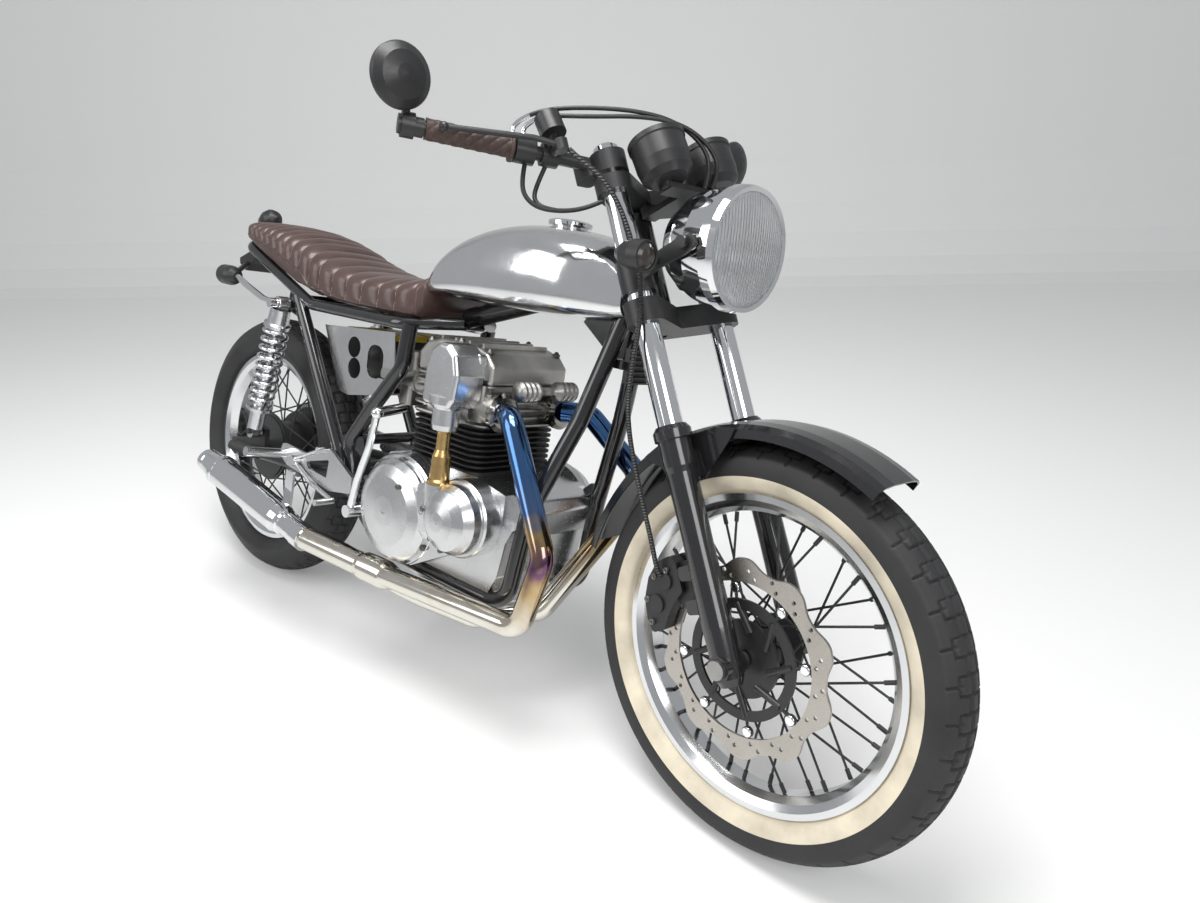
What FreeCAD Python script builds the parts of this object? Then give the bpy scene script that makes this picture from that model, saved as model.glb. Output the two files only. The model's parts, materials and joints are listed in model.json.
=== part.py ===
import FreeCAD, Part
import math
import os
from FreeCAD import Vector, Placement, Rotation

# Cafe racer motorcycle, millimetres, +X to the front, +Y to the left, +Z up.
# The chassis is drawn upright, with the rear axle over X = 0 and the floor at Z = 0.
# The fork is drawn about its own steering axis, along local Z, the front axle at height 0.
# At the end everything leans on the side stand and moves to the middle of its footprint.

# Stance on the side stand
LEAN = 13.81                # to the left, degrees
STEER = -5.8                # handlebars turned to the right, degrees
LIFT = 1.895                # rise of the leaning tyres' round edges
ORIGIN_X = 727.0            # middle of the footprint
ORIGIN_Y = 273.0

# Main sizes
WHEELBASE = 1455.0
FRONT_TYRE_W = 100.0
FRONT_CROWN = 64.0          # radius of the tread's arch
REAR_TYRE_W = 128.0
REAR_CROWN = 66.0
FRONT_RIM_R = 255.0
FRONT_RIM_W = 66.0
REAR_RIM_R = 242.0
REAR_RIM_W = 86.0
FRONT_WALL = 76.0           # height of the tyre over its rim
REAR_WALL = 90.0
FRONT_TYRE_R = FRONT_RIM_R + FRONT_WALL
REAR_TYRE_R = REAR_RIM_R + REAR_WALL
RAKE = 27.0
FORK_OFFSET = 54.0          # steering axis to fork tubes
DISC_R = 160.0              # brake disc, to the tops of its waves
DISC_CLEAR = 5.0            # disc's edge to the caliper's bridge
FORK_HALF = 97.0            # half the spacing of the fork tubes
STEER_LOCK = 39.0           # each side of straight ahead
GAP = 0.3                   # between neighbouring pieces
AXLE_FIT = 0.05             # radial clearance of a wheel on its axle

# Tubes and bars
FRAME_TUBE = 31.8
RAIL_TUBE = 25.4
SWINGARM_TUBE = 34.0
FORK_TUBE = 41.0
FORK_LEG = 53.0
BAR_TUBE = 22.2
HEADER_TUBE = 42.7
COLLECTOR_TUBE = 52.0
SPOKE = 4.0
SPOKES_F = 36
SPOKES_R = 36
AXLE_F = 17.0
AXLE_R = 18.0


def vec(point):
    return Vector(point[0], point[1], point[2])


def mirrored(shape):
    """The same shape on the other side of the machine."""
    return shape.mirror(Vector(0, 0, 0), Vector(0, 1, 0))


def join(first, *others):
    """One solid from pieces that run into each other."""
    return first.fuse(list(others)).removeSplitter()


def rod(start, end, diameter):
    """Round bar between two points."""
    a = vec(start)
    axis = vec(end) - a
    return Part.makeCylinder(diameter / 2, axis.Length, a, axis)


def bent_tube(points, bend, diameter):
    """Round bar along straight runs joined by tangent arcs of one bend radius."""
    pts = [vec(p) for p in points]
    edges = []
    start = pts[0]
    for i in range(1, len(pts) - 1):
        back = (pts[i - 1] - pts[i]).normalize()
        ahead = (pts[i + 1] - pts[i]).normalize()
        half = back.getAngle(ahead) / 2
        first = pts[i] + back * (bend / math.tan(half))
        last = pts[i] + ahead * (bend / math.tan(half))
        middle = (back + ahead).normalize()
        top = pts[i] + middle * (bend / math.sin(half) - bend)
        edges.append(Part.LineSegment(start, first).toShape())
        edges.append(Part.Arc(first, top, last).toShape())
        start = last
    edges.append(Part.LineSegment(start, pts[-1]).toShape())
    ring = Part.Wire(Part.Circle(pts[0], pts[1] - pts[0], diameter / 2).toShape())
    return Part.Wire(edges).makePipeShell([ring], True, False)


def turned(profile, origin=(0, 0, 0), direction=(0, 0, 1)):
    """Solid turned from (radius, height) points about an axis."""
    points = [Vector(r, 0, h) for r, h in profile]
    outline = Part.makePolygon(points + [points[0]])
    solid = Part.Face(outline).revolve(Vector(0, 0, 0), Vector(0, 0, 1), 360)
    solid.Placement = Placement(vec(origin), Rotation(Vector(0, 0, 1), vec(direction)))
    return solid


def slab(outline, y_from, y_to, corner=0.0):
    """Flat plate: (x, z) outline, thickness across the machine, rounded upright edges."""
    points = [Vector(x, y_from, z) for x, z in outline]
    face = Part.Face(Part.makePolygon(points + [points[0]]))
    solid = face.extrude(Vector(0, y_to - y_from, 0))
    if corner:
        across = [e for e in solid.Edges if abs(e.tangentAt(e.FirstParameter).y) > 0.99]
        solid = solid.makeFillet(corner, across)
    return solid


def round_box(x0, x1, y0, y1, z0, z1, corner, along="Z"):
    """Box with its four edges along one axis rounded."""
    solid = Part.makeBox(x1 - x0, y1 - y0, z1 - z0, Vector(x0, y0, z0))
    pick = "XYZ".index(along)
    edges = [e for e in solid.Edges if abs(e.tangentAt(e.FirstParameter)[pick]) > 0.99]
    return solid.makeFillet(corner, edges)


def capsule_plate(ends, radii, z0, z1):
    """Flat plate in the XY plane, hulled round a row of circles."""
    pieces = [Part.makeCylinder(r, z1 - z0, Vector(x, y, z0)) for (x, y), r in zip(ends, radii)]
    for (p, rp), (q, rq) in zip(zip(ends, radii), zip(ends[1:], radii[1:])):
        run = Vector(q[0] - p[0], q[1] - p[1], 0)
        turn = math.acos((rp - rq) / run.Length)
        base = math.atan2(run.y, run.x)
        corners = []
        for (cx, cy), r, side in ((p, rp, 1), (q, rq, 1), (q, rq, -1), (p, rp, -1)):
            angle = base + side * turn
            corners.append(Vector(cx + r * math.cos(angle), cy + r * math.sin(angle), z0))
        web = Part.Face(Part.makePolygon(corners + [corners[0]]))
        pieces.append(web.extrude(Vector(0, 0, z1 - z0)))
    return join(pieces[0], *pieces[1:])


def section(x, half_width, z_low, z_high, square_low=0.45, square_high=0.85, count=20):
    """Smooth closed cross-section at one place along the machine, as a wire."""
    points = []
    for k in range(count):
        angle = 2 * math.pi * (k + 0.5) / count
        c = math.cos(angle)
        s = math.sin(angle)
        power = square_high if s > 0 else square_low
        y = half_width * math.copysign(abs(c) ** (square_low if s < 0 else 0.7), c)
        z = (z_low + z_high) / 2 + (z_high - z_low) / 2 * math.copysign(abs(s) ** power, s)
        points.append(Vector(x, y, z))
    curve = Part.BSplineCurve()
    curve.interpolate(points, PeriodicFlag=True)
    return Part.Wire(curve.toShape())


# Wheels, drawn about an axle along Y at the origin

def tyre(radius, width, rim_radius, rim_width, crown):
    """Motorcycle tyre: arched crown, bulging wall, bead inside the rim's flange."""
    half = width / 2
    bead = rim_width / 2 - 4.0 - GAP
    seat = rim_radius - 12.5
    side = [(seat, bead), (rim_radius + 1, bead), (rim_radius + 7, half * 0.80),
            (rim_radius + 22, half * 0.95), (rim_radius + 38, half * 1.0)]
    steps = 5
    for k in range(steps):
        # Points on the crown's arc, from its shoulder to just beside the middle
        angle = math.radians(48.0 * (1 - k / steps))
        side.append((radius - crown * (1 - math.cos(angle)), crown * math.sin(angle)))
    right = [Vector(0, -y, r) for r, y in side]
    left = [Vector(0, y, r) for r, y in reversed(side)]
    curve = Part.BSplineCurve()
    curve.interpolate(right[1:] + [Vector(0, 0, radius)] + left[:-1])
    edges = [Part.LineSegment(left[-1], right[0]).toShape(),
             Part.LineSegment(right[0], right[1]).toShape(), curve.toShape(),
             Part.LineSegment(left[-2], left[-1]).toShape()]
    face = Part.Face(Part.Wire(edges))
    return face.revolve(Vector(0, 0, 0), Vector(0, 1, 0), 360)


def rim(radius, width):
    """Drop-centre alloy rim with flanges, one channel section turned round the axle."""
    h = width / 2
    seat = radius - 13.0
    outer = [(radius, h), (radius - 10, h), (seat - 8, h - 7), (seat - 17, h * 0.42)]
    inner = [(seat - 12, h * 0.30), (seat - 5, h * 0.55), (seat, h - 10), (seat, h - 4),
             (radius, h - 4)]
    half = outer + [(r, -y) for r, y in reversed(outer)]
    ring = half + [(r, -y) for r, y in reversed(inner)]
    ring += inner
    points = [Vector(0, y, r) for r, y in ring]
    face = Part.Face(Part.makePolygon(points + [points[0]]))
    return face.revolve(Vector(0, 0, 0), Vector(0, 1, 0), 360)


def laced_hub(flange_r, flange_y, body_r, body_half, rim_radius, spokes, bore, nipple_y):
    """Hub barrel with two flanges and crossed spokes that end in nipples at the rim."""
    fy = flange_y
    barrel = turned([(bore, -body_half), (body_r, -body_half), (body_r, -fy - 3),
                     (flange_r, -fy - 3), (flange_r, -fy + 3), (body_r * 0.8, -fy + 9),
                     (body_r * 0.8, fy - 9), (flange_r, fy - 3), (flange_r, fy + 3),
                     (body_r, fy + 3), (body_r, body_half), (bore, body_half)],
                    direction=(0, 1, 0))
    foot = rim_radius - 30.0 - GAP
    pieces = []
    for k in range(spokes):
        side = 1 if k % 2 else -1
        lead = 1 if (k // 2) % 2 else -1
        angle = 360.0 / spokes * (k + 0.5)
        start = math.radians(angle - lead * 62.0)
        end = math.radians(angle)
        inside = Vector((flange_r - 5) * math.cos(start), side * fy,
                        (flange_r - 5) * math.sin(start))
        outside = Vector(foot * math.cos(end), side * nipple_y, foot * math.sin(end))
        along = (outside - inside).normalize()
        pieces.append(rod(inside, outside - along * 10, SPOKE))
        slope = math.tan(along.getAngle(Vector(outside.x, 0, outside.z)))
        pieces.append(rod(outside - along * 17, outside - along * (3.5 * slope), 7.0))
    return join(barrel, *pieces)


def front_wheel():
    nodes = {}
    nodes["front_tyre"] = tyre(FRONT_TYRE_R, FRONT_TYRE_W, FRONT_RIM_R, FRONT_RIM_W,
                               FRONT_CROWN)
    nodes["front_rim"] = rim(FRONT_RIM_R, FRONT_RIM_W)
    bore = AXLE_F / 2 + AXLE_FIT
    hub = laced_hub(52.0, 33.0, 36.0, 52.0, FRONT_RIM_R, SPOKES_F, bore, 8.0)
    # Disc carrier: eight black arms from the hub's right end out to the disc's buttons
    plate = turned([(bore + 8, -56.0), (62.0, -56.0), (62.0, -50.0), (bore + 8, -50.0)],
                   direction=(0, 1, 0))
    carrier = turned([(80.0, -62.0), (96.0, -62.0), (96.0, -57.0), (80.0, -57.0)],
                     direction=(0, 1, 0))
    arms = []
    for k in range(8):
        angle = math.radians(45.0 * k + 12)
        lead = math.radians(45.0 * k + 34)
        out = math.radians(45.0 * k + 34)
        a = (46 * math.cos(angle), -55.0, 46 * math.sin(angle))
        b = (90 * math.cos(lead), -59.5, 90 * math.sin(lead))
        c = (119 * math.cos(out), -62.0, 119 * math.sin(out))
        arms.append(rod(a, b, 11.0))
        lug = Part.makeCylinder(9.0, 5.0, Vector(113 * math.cos(out), -62.0, 113 * math.sin(out)),
                                Vector(0, 1, 0))
        web = rod(b, (113 * math.cos(out), -59.5, 113 * math.sin(out)), 4.9)
        arms.append(lug)
        arms.append(web)
    nodes["front_hub"] = join(hub, plate, carrier, *arms)
    nodes["front_disc"] = brake_disc(DISC_R, 123.0, -62.0, 5.0)
    return nodes


def brake_disc(outer, inner, y, thick):
    """Floating brake disc with a waved outer edge, and slots through its band."""
    waves = 10
    points = []
    for k in range(waves * 8):
        angle = 2 * math.pi * k / (waves * 8)
        swing = math.cos(waves * angle)
        r = outer - 7.0 + 7.0 * math.copysign(abs(swing) ** 0.6, swing)
        points.append(Vector(r * math.cos(angle), y, r * math.sin(angle)))
    curve = Part.BSplineCurve()
    curve.interpolate(points, PeriodicFlag=True)
    face = Part.Face(Part.Wire(curve.toShape()))
    disc = face.extrude(Vector(0, thick, 0))
    hole = Part.makeCylinder(inner, thick + 4, Vector(0, y - 2, 0), Vector(0, 1, 0))
    slots = []
    for k in range(waves * 2):
        angle = 2 * math.pi * (k + 0.5) / (waves * 2)
        p = Vector(131 * math.cos(angle), y - 2, 131 * math.sin(angle))
        q = Vector(141 * math.cos(angle + 0.09), y - 2, 141 * math.sin(angle + 0.09))
        slots.append(Part.makeCylinder(3.6, thick + 4, p, Vector(0, 1, 0)))
        slots.append(Part.makeCylinder(3.6, thick + 4, q, Vector(0, 1, 0)))
    return disc.cut([hole] + slots)


def rear_wheel():
    nodes = {}
    nodes["rear_tyre"] = tyre(REAR_TYRE_R, REAR_TYRE_W, REAR_RIM_R, REAR_RIM_W, REAR_CROWN)
    nodes["rear_rim"] = rim(REAR_RIM_R, REAR_RIM_W)
    bore = AXLE_R / 2 + AXLE_FIT
    hub = laced_hub(88.0, 40.0, 80.0, 46.0, REAR_RIM_R, SPOKES_R, bore, 9.0)
    # Chain sprocket bolted to a carrier on the hub's left end
    face = SPROCKET_Y + 3
    carrier = turned([(bore, 44.0), (70.0, 44.0), (70.0, face - 6), (50.0, face),
                      (bore, face)], direction=(0, 1, 0))
    sprocket = sprocket_disc(SPROCKET_R, 43, (0, SPROCKET_Y, 0))
    nodes["rear_hub"] = join(hub, carrier, sprocket)
    return nodes


SPROCKET_R = 104.0          # roller circle of the rear sprocket
GEARBOX_R = 38.0            # roller circle of the gearbox sprocket
SPROCKET_Y = 81.0
GEARBOX_AT = (585.0, 372.0)


def sprocket_disc(pitch_r, teeth, centre):
    """Toothed plate, its teeth reaching a little inside the rollers."""
    points = []
    for k in range(teeth * 2):
        angle = math.pi * k / teeth
        r = pitch_r - 3.0 if k % 2 else pitch_r - 8.0
        points.append(Vector(centre[0] + r * math.cos(angle), centre[1] - 3.0,
                             centre[2] + r * math.sin(angle)))
    face = Part.Face(Part.makePolygon(points + [points[0]]))
    plate = face.extrude(Vector(0, 6.0, 0))
    bore = Part.makeCylinder(12.0, 20, Vector(centre[0], centre[1] - 10, centre[2]),
                             Vector(0, 1, 0))
    return plate.cut(bore)


# Fork and handlebars, drawn in fork space: X ahead of the steering axis, Z along it

YOKE_LOW = (540.0, 578.0)
YOKE_TOP = (760.0, 786.0)
LEG_TOP = 369.0
TUBE_TOP = 842.0
TUBE_FOOT = 190.0
STEM = 28.0
HEAD_LOW = 590.0
HEAD_TOP = 754.0
HEAD_TUBE = 56.0
LAMP_AT = (207.0, 609.0)    # middle of the lamp glass
LAMP_R = 98.0
GUARD_GAP = 35.0            # tyre's tread to the mudguard's outside
GUARD_R = FRONT_TYRE_R + GUARD_GAP
GUARD_HALF = 62.0


def sides():
    return (-1, 1)


def yokes():
    """Two clamps round the fork tubes, joined by the steering stem."""
    pieces = []
    for low, high in (YOKE_LOW, YOKE_TOP):
        ends = [(FORK_OFFSET, -FORK_HALF), (12.0, 0.0), (FORK_OFFSET, FORK_HALF)]
        plate = capsule_plate(ends, [31.0, 30.0, 31.0], low, high)
        for side in sides():
            hole = Part.makeCylinder(FORK_TUBE / 2 + GAP, 60,
                                     Vector(FORK_OFFSET, side * FORK_HALF, low - 10))
            plate = plate.cut(hole)
        pieces.append(plate)
    stem = Part.makeCylinder(STEM / 2, YOKE_TOP[1] - YOKE_LOW[0] + 14, Vector(0, 0, YOKE_LOW[0]))
    nut = Part.makeCylinder(19.0, 12.0, Vector(0, 0, YOKE_TOP[1]))
    body = join(pieces[0], pieces[1], stem, nut)
    # The stem is hollow, and open at its foot
    return body.cut(Part.makeCylinder(9.0, 60.0, Vector(0, 0, YOKE_LOW[0] - 1)))


def fork_tubes():
    tubes = []
    for side in sides():
        profile = [(0, TUBE_FOOT), (FORK_TUBE / 2, TUBE_FOOT), (FORK_TUBE / 2, TUBE_TOP - 3),
                   (FORK_TUBE / 2 - 3, TUBE_TOP), (0, TUBE_TOP)]
        tubes.append(turned(profile, (FORK_OFFSET, side * FORK_HALF, 0)))
    return Part.makeCompound(tubes)


EYE_HALF = 24.0             # half the width of a leg's axle eye


def fork_legs():
    """Sliders: bored for the tubes, axle eye at the foot, lugs for guard and caliper."""
    legs = []
    leg_r = FORK_LEG / 2
    for side in sides():
        at = (FORK_OFFSET, side * FORK_HALF, 0)
        body = turned([(0, -30), (leg_r - 9, -30), (leg_r - 4, -18), (leg_r - 2, 60),
                       (leg_r - 3, 180), (leg_r - 2, 300), (leg_r, 310), (leg_r, LEG_TOP - 18),
                       (leg_r + 4, LEG_TOP - 16), (leg_r + 4, LEG_TOP - 2),
                       (leg_r - 2, LEG_TOP + 6), (0, LEG_TOP + 6)], at)
        inner = side * (FORK_HALF - 12)
        lug = round_box(FORK_OFFSET - 14, FORK_OFFSET + 14, min(inner, side * 66.5),
                        max(inner, side * 66.5), 285, 335, 8, "Y")
        eye = Part.makeCylinder(20, EYE_HALF * 2, Vector(FORK_OFFSET, side * FORK_HALF - EYE_HALF,
                                                          0), Vector(0, 1, 0))
        leg = join(body, lug, eye)
        if side < 0:
            # Two lugs reach back to the brake caliper's bolts
            for height in (92.0, 146.0):
                arm = slab([(FORK_OFFSET - 5, height + 14), (CALIPER_BOLT_X - 8, height + 11),
                            (CALIPER_BOLT_X - 8, height - 11), (FORK_OFFSET - 5, height - 14)],
                           -93.0, -79.0, 6)
                leg = join(leg, arm)
        bore = Part.makeCylinder(FORK_TUBE / 2 + GAP, 400,
                                 Vector(FORK_OFFSET, side * FORK_HALF, TUBE_FOOT - GAP))
        axle = Part.makeCylinder(AXLE_F / 2 + GAP, 80,
                                 Vector(FORK_OFFSET, side * FORK_HALF - 40, 0), Vector(0, 1, 0))
        legs.append(leg.cut([bore, axle]))
    return Part.makeCompound(legs)


CALIPER_BOLT_X = 4.0


def front_axle():
    """Axle through both legs, with a hexagon head and a nut, and wheel spacers."""
    outer = FORK_HALF + EYE_HALF + GAP
    inner = FORK_HALF - EYE_HALF - GAP
    half = outer + 7.0
    axle = Part.makeCylinder(AXLE_F / 2, 2 * half, Vector(FORK_OFFSET, -half, 0), Vector(0, 1, 0))
    pieces = [axle]
    for y0, y1, r in ((-half, -outer, 15.0), (outer, half, 15.0),
                      (-inner, -56.0 - GAP, 13.0), (52.0 + GAP, inner, 13.0)):
        pieces.append(Part.makeCylinder(r, y1 - y0, Vector(FORK_OFFSET, y0, 0), Vector(0, 1, 0)))
    return join(*pieces)


def mudguard():
    """Curved front mudguard over the tyre, with side plates bolted to the legs."""
    edge = [(GUARD_R - 24, GUARD_HALF), (GUARD_R - 10, GUARD_HALF - 1),
            (GUARD_R - 3, GUARD_HALF - 12), (GUARD_R, 28.0)]
    outer = [Vector(0, y, r) for r, y in edge] + [Vector(0, -y, r) for r, y in reversed(edge)]
    inner = [Vector(0, max(y - 2.5, 20.0), r - 2.5) if r > GUARD_R - 12 else
             Vector(0, y - 2.5, r) for r, y in edge]
    inner += [Vector(0, -v.y, v.z) for v in reversed(inner)]
    outline = Part.makePolygon(outer + list(reversed(inner)) + [outer[0]])
    face = Part.Face(outline)
    # The guard runs from behind the tyre to its nose, in fork space from 141 to 35 degrees
    face.rotate(Vector(0, 0, 0), Vector(0, 1, 0), -51.0)
    guard = face.revolve(Vector(0, 0, 0), Vector(0, 1, 0), 106.0)
    guard.translate(Vector(FORK_OFFSET, 0, 0))
    pieces = [guard]
    for side in sides():
        low = side * (GUARD_HALF + 1.2)
        high = side * (GUARD_HALF + 4.2)
        foot, shoulder, end, crown = GUARD_R - 81, GUARD_R - 36, GUARD_R - 21, GUARD_R - 10
        outline = [(FORK_OFFSET - 95, end), (FORK_OFFSET - 80, shoulder), (FORK_OFFSET - 18, foot),
                   (FORK_OFFSET + 18, foot), (FORK_OFFSET + 80, shoulder), (FORK_OFFSET + 95, end),
                   (FORK_OFFSET + 60, crown), (FORK_OFFSET - 60, crown)]
        plate = slab(outline, min(low, high), max(low, high))
        bridge = slab([(FORK_OFFSET - 60, GUARD_R - 22), (FORK_OFFSET + 60, GUARD_R - 22),
                       (FORK_OFFSET + 60, GUARD_R - 14), (FORK_OFFSET - 60, GUARD_R - 14)],
                      min(side * (GUARD_HALF - 2), high), max(side * (GUARD_HALF - 2), high))
        pieces += [plate, bridge]
    return join(*pieces)


def headlamp_shell():
    """Chrome bowl and rim of the lamp, open at the front for the glass."""
    out = [(LAMP_R - 10, 0), (LAMP_R - 3, 2), (LAMP_R, -8), (LAMP_R, -24), (LAMP_R - 5, -28),
           (LAMP_R - 6, -60), (LAMP_R - 14, -92), (LAMP_R - 34, -122), (LAMP_R - 62, -136),
           (0, -140)]
    inside = [(0, -136), (LAMP_R - 63, -132), (LAMP_R - 37, -118), (LAMP_R - 18, -90),
              (LAMP_R - 10, -60), (LAMP_R - 10, -12)]
    shell = turned(out + inside)
    seats = [Part.makeCylinder(11, LAMP_R - 4, Vector(0, 0, -42), Vector(0, side, 0))
             for side in sides()]
    hollow = turned(inside + [(0, -12)])
    lugs = [seat.cut(hollow) for seat in seats]
    shell = join(shell, *lugs)
    return lamp_placed(shell)


def lamp_placed(shape):
    shape.rotate(Vector(0, 0, 0), Vector(0, 1, 0), 90 + RAKE)
    shape.translate(Vector(LAMP_AT[0], 0, LAMP_AT[1]))
    return shape


def headlamp_lens():
    """Slightly domed glass, seated in the rim."""
    r = LAMP_R - 10 - GAP
    glass = [(0, 9), (r * 0.4, 7.5), (r * 0.7, 4.5), (r, 0), (r, -8), (0, -8)]
    return lamp_placed(turned(glass))


def lamp_brackets():
    """Black sleeves round the fork tubes, arms to the lamp and bullet indicators."""
    pieces = []
    for side in sides():
        y = side * FORK_HALF
        sleeve = turned([(FORK_TUBE / 2 + GAP, 592), (FORK_TUBE / 2 + 7, 592),
                         (FORK_TUBE / 2 + 7, 646), (FORK_TUBE / 2 + GAP, 646)],
                        (FORK_OFFSET, y, 0))
        arm = slab([(FORK_OFFSET + 22, 606), (110, 612), (165, 612), (188, 618), (188, 634),
                    (165, 640), (110, 636), (FORK_OFFSET + 22, 636)],
                   min(side * 100, side * 108), max(side * 100, side * 108), 3)
        pad = rod((LAMP_BOLT[0], side * (LAMP_R - 4 + GAP), LAMP_BOLT[1]),
                  (LAMP_BOLT[0], side * 118, LAMP_BOLT[1]), 20)
        stalk = rod((112, side * 104, 624), (112, side * 150, 628), 14)
        bullet = turned([(0, -34), (11, -31), (20, -16), (24, 4), (24, 26), (0, 26)],
                        (112, side * 158, 628), LAMP_AXIS)
        bullet = bullet.cut(turned([(0, 20), (20, 20), (20, 30), (0, 30)],
                                   (112, side * 158, 628), LAMP_AXIS))
        pieces.append(join(sleeve, arm, pad, stalk, bullet))
    return Part.makeCompound(pieces)


LAMP_AXIS = (math.cos(math.radians(RAKE)), 0, -math.sin(math.radians(RAKE)))
LAMP_BOLT = (LAMP_AT[0] - 42 * math.cos(math.radians(RAKE)),
             LAMP_AT[1] + 42 * math.sin(math.radians(RAKE)))


def indicator_lenses():
    """Clear lenses, let into the fronts of the indicators."""
    lenses = []
    for side in sides():
        lenses.append(turned([(0, 20 + GAP), (20 - GAP, 20 + GAP), (20 - GAP, 25), (14, 29),
                              (0, 31)], (112, side * 158, 628), LAMP_AXIS))
    return Part.makeCompound(lenses)


def gauges():
    """Two round instruments on a bracket over the top yoke."""
    pieces = []
    for side in sides():
        cup = [(0, -36), (30, -36), (42, -26), (45, -6), (45, 26), (47, 28), (47, 36), (43, 38),
               (40, 36), (40, 32), (0, 32)]
        pieces.append(turned(cup, (GAUGE_AT[0], side * 60, GAUGE_AT[1]), GAUGE_AXIS))
    bar = round_box(112, 140, -62, 62, 738, 748, 4, "Z")
    post = round_box(30, 120, -16, 16, 738, 748, 4, "Z")
    foot = Part.makeBox(14, 32, YOKE_TOP[0] - 738 - GAP, Vector(31, -16, 738))
    stands = [Part.makeCylinder(9, 30, Vector(GAUGE_AT[0] - 3, side * 60, 740))
              for side in sides()]
    return join(pieces[0], pieces[1], bar, post, foot, *stands)


GAUGE_AT = (132.0, 786.0)
GAUGE_AXIS = (-0.12, 0, 0.99)
BAR_ROOT = (43.0, 97.0, 812.0)
BAR_END = (-62.0, 370.0, 884.0)


def bar_point(side, along, grow=0.0):
    """Point on the bar's axis, a share of the way from clamp to tip."""
    return tuple((BAR_ROOT[i] + (BAR_END[i] - BAR_ROOT[i]) * along) * (side if i == 1 else 1)
                 for i in range(3))


def clip_ons():
    """Clip-on handlebars: a clamp round each fork tube and a swept bar."""
    pieces = []
    for side in sides():
        y = side * FORK_HALF
        clamp = Part.makeCylinder(FORK_TUBE / 2 + 9, 34, Vector(FORK_OFFSET, y, 794))
        block = round_box(FORK_OFFSET - 52, FORK_OFFSET - 12, min(y, y + side * 34),
                          max(y, y + side * 34), 796, 826, 8, "Z")
        bar = rod(bar_point(side, 0.10), bar_point(side, 1.0), BAR_TUBE)
        weight = rod(bar_point(side, 0.975), bar_point(side, 1.10), 29)
        body = join(clamp, block, bar, weight)
        hole = Part.makeCylinder(FORK_TUBE / 2 + GAP, 60, Vector(FORK_OFFSET, y, 784))
        pieces.append(body.cut(hole))
    return Part.makeCompound(pieces)


def ring_on_bar(side, start, end, outer, inner):
    a = vec(bar_point(side, start))
    b = vec(bar_point(side, end))
    return Part.makeCylinder(outer, (b - a).Length, a, b - a).cut(
        Part.makeCylinder(inner, (b - a).Length, a, b - a))


def grips():
    pieces = []
    inner = BAR_TUBE / 2 + GAP
    for side in sides():
        body = ring_on_bar(side, 0.53, 0.965, 16.5, inner)
        flange = ring_on_bar(side, 0.515, 0.545, 22.0, inner)
        pieces.append(join(body, flange))
    return Part.makeCompound(pieces)


def hand_controls():
    """Switch housings, lever perches, levers, and the brake's fluid reservoir."""
    pieces = []
    inner = BAR_TUBE / 2 + GAP
    for side in sides():
        switch = ring_on_bar(side, 0.40, 0.505, 21.0, inner)
        perch = ring_on_bar(side, 0.27, 0.36, 18.0, inner)
        root = Vector(*bar_point(side, 0.315))
        pivot = Vector(root.x + 44, root.y + side * 14, root.z - 8)
        arm = rod(root + (pivot - root) * 0.38, pivot, 16)
        post = Part.makeCylinder(11, 18, pivot - Vector(0, 0, 9))
        knee = Vector(*bar_point(side, 0.50)) + Vector(46, 0, -6)
        tip = Vector(*bar_point(side, 0.93)) + Vector(30, 0, -10)
        lever = bent_tube([tuple(pivot), tuple(knee), tuple(tip)], 60, 9)
        knob = Part.makeSphere(7.5, tip)
        body = join(perch, arm, post, lever, knob)
        if side < 0:
            base = root + Vector(16, side * 10, 14)
            tank = Part.makeCylinder(21, 34, base + Vector(14, 0, 4), Vector(-0.2, 0, 0.98))
            neck = rod(tuple(root + Vector(8, side * 6, 6)), tuple(base + Vector(14, 0, 10)), 14)
            body = join(body, tank, neck).cut(
                Part.makeCylinder(inner, 400, Vector(*bar_point(side, 0.0)),
                                  Vector(*bar_point(side, 1.0)) - Vector(*bar_point(side, 0.0))))
        pieces += [switch, body]
    return Part.makeCompound(pieces)


MIRROR_AT = (-29.0, 405.0, 936.0)
MIRROR_R = 47.0


def mirrors():
    """Round bar-end mirrors on short jointed arms."""
    pieces = []
    for side in sides():
        start = Vector(*bar_point(side, 1.06))
        clamp = ring_on_bar(side, 1.02, 1.085, 19.0, 14.5 + GAP)
        knuckle = start + Vector(26, side * 6, 34)
        centre = Vector(MIRROR_AT[0], side * MIRROR_AT[1], MIRROR_AT[2] + 4)
        arm = rod(tuple(start + (knuckle - start) * 0.42), tuple(knuckle), 12)
        joint = Part.makeSphere(10, knuckle)
        back = turned([(0, -20), (14, -18), (34, -11), (MIRROR_R - 2, -3), (MIRROR_R, 0),
                       (MIRROR_R, 5), (0, 5)], tuple(centre), MIRROR_AXIS[side])
        link = rod(tuple(knuckle), tuple(centre + Vector(14, 0, 2)), 10)
        face = turned([(0, 2), (MIRROR_R - 3, 2), (MIRROR_R - 3, 12), (0, 12)],
                      tuple(centre), MIRROR_AXIS[side])
        pieces.append(join(clamp, arm, joint, link, back).cut(face))
    return Part.makeCompound(pieces)


MIRROR_AXIS = {-1: (-0.90, 0.10, 0.42), 1: (-0.90, -0.10, 0.42)}


def mirror_glasses():
    glasses = []
    for side in sides():
        centre = (MIRROR_AT[0], side * MIRROR_AT[1], MIRROR_AT[2] + 4)
        glasses.append(turned([(0, 2 + GAP), (MIRROR_R - 3 - GAP, 2 + GAP),
                               (MIRROR_R - 3 - GAP, 4.6), (0, 4.6)], centre,
                              MIRROR_AXIS[side]))
    return Part.makeCompound(glasses)


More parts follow.
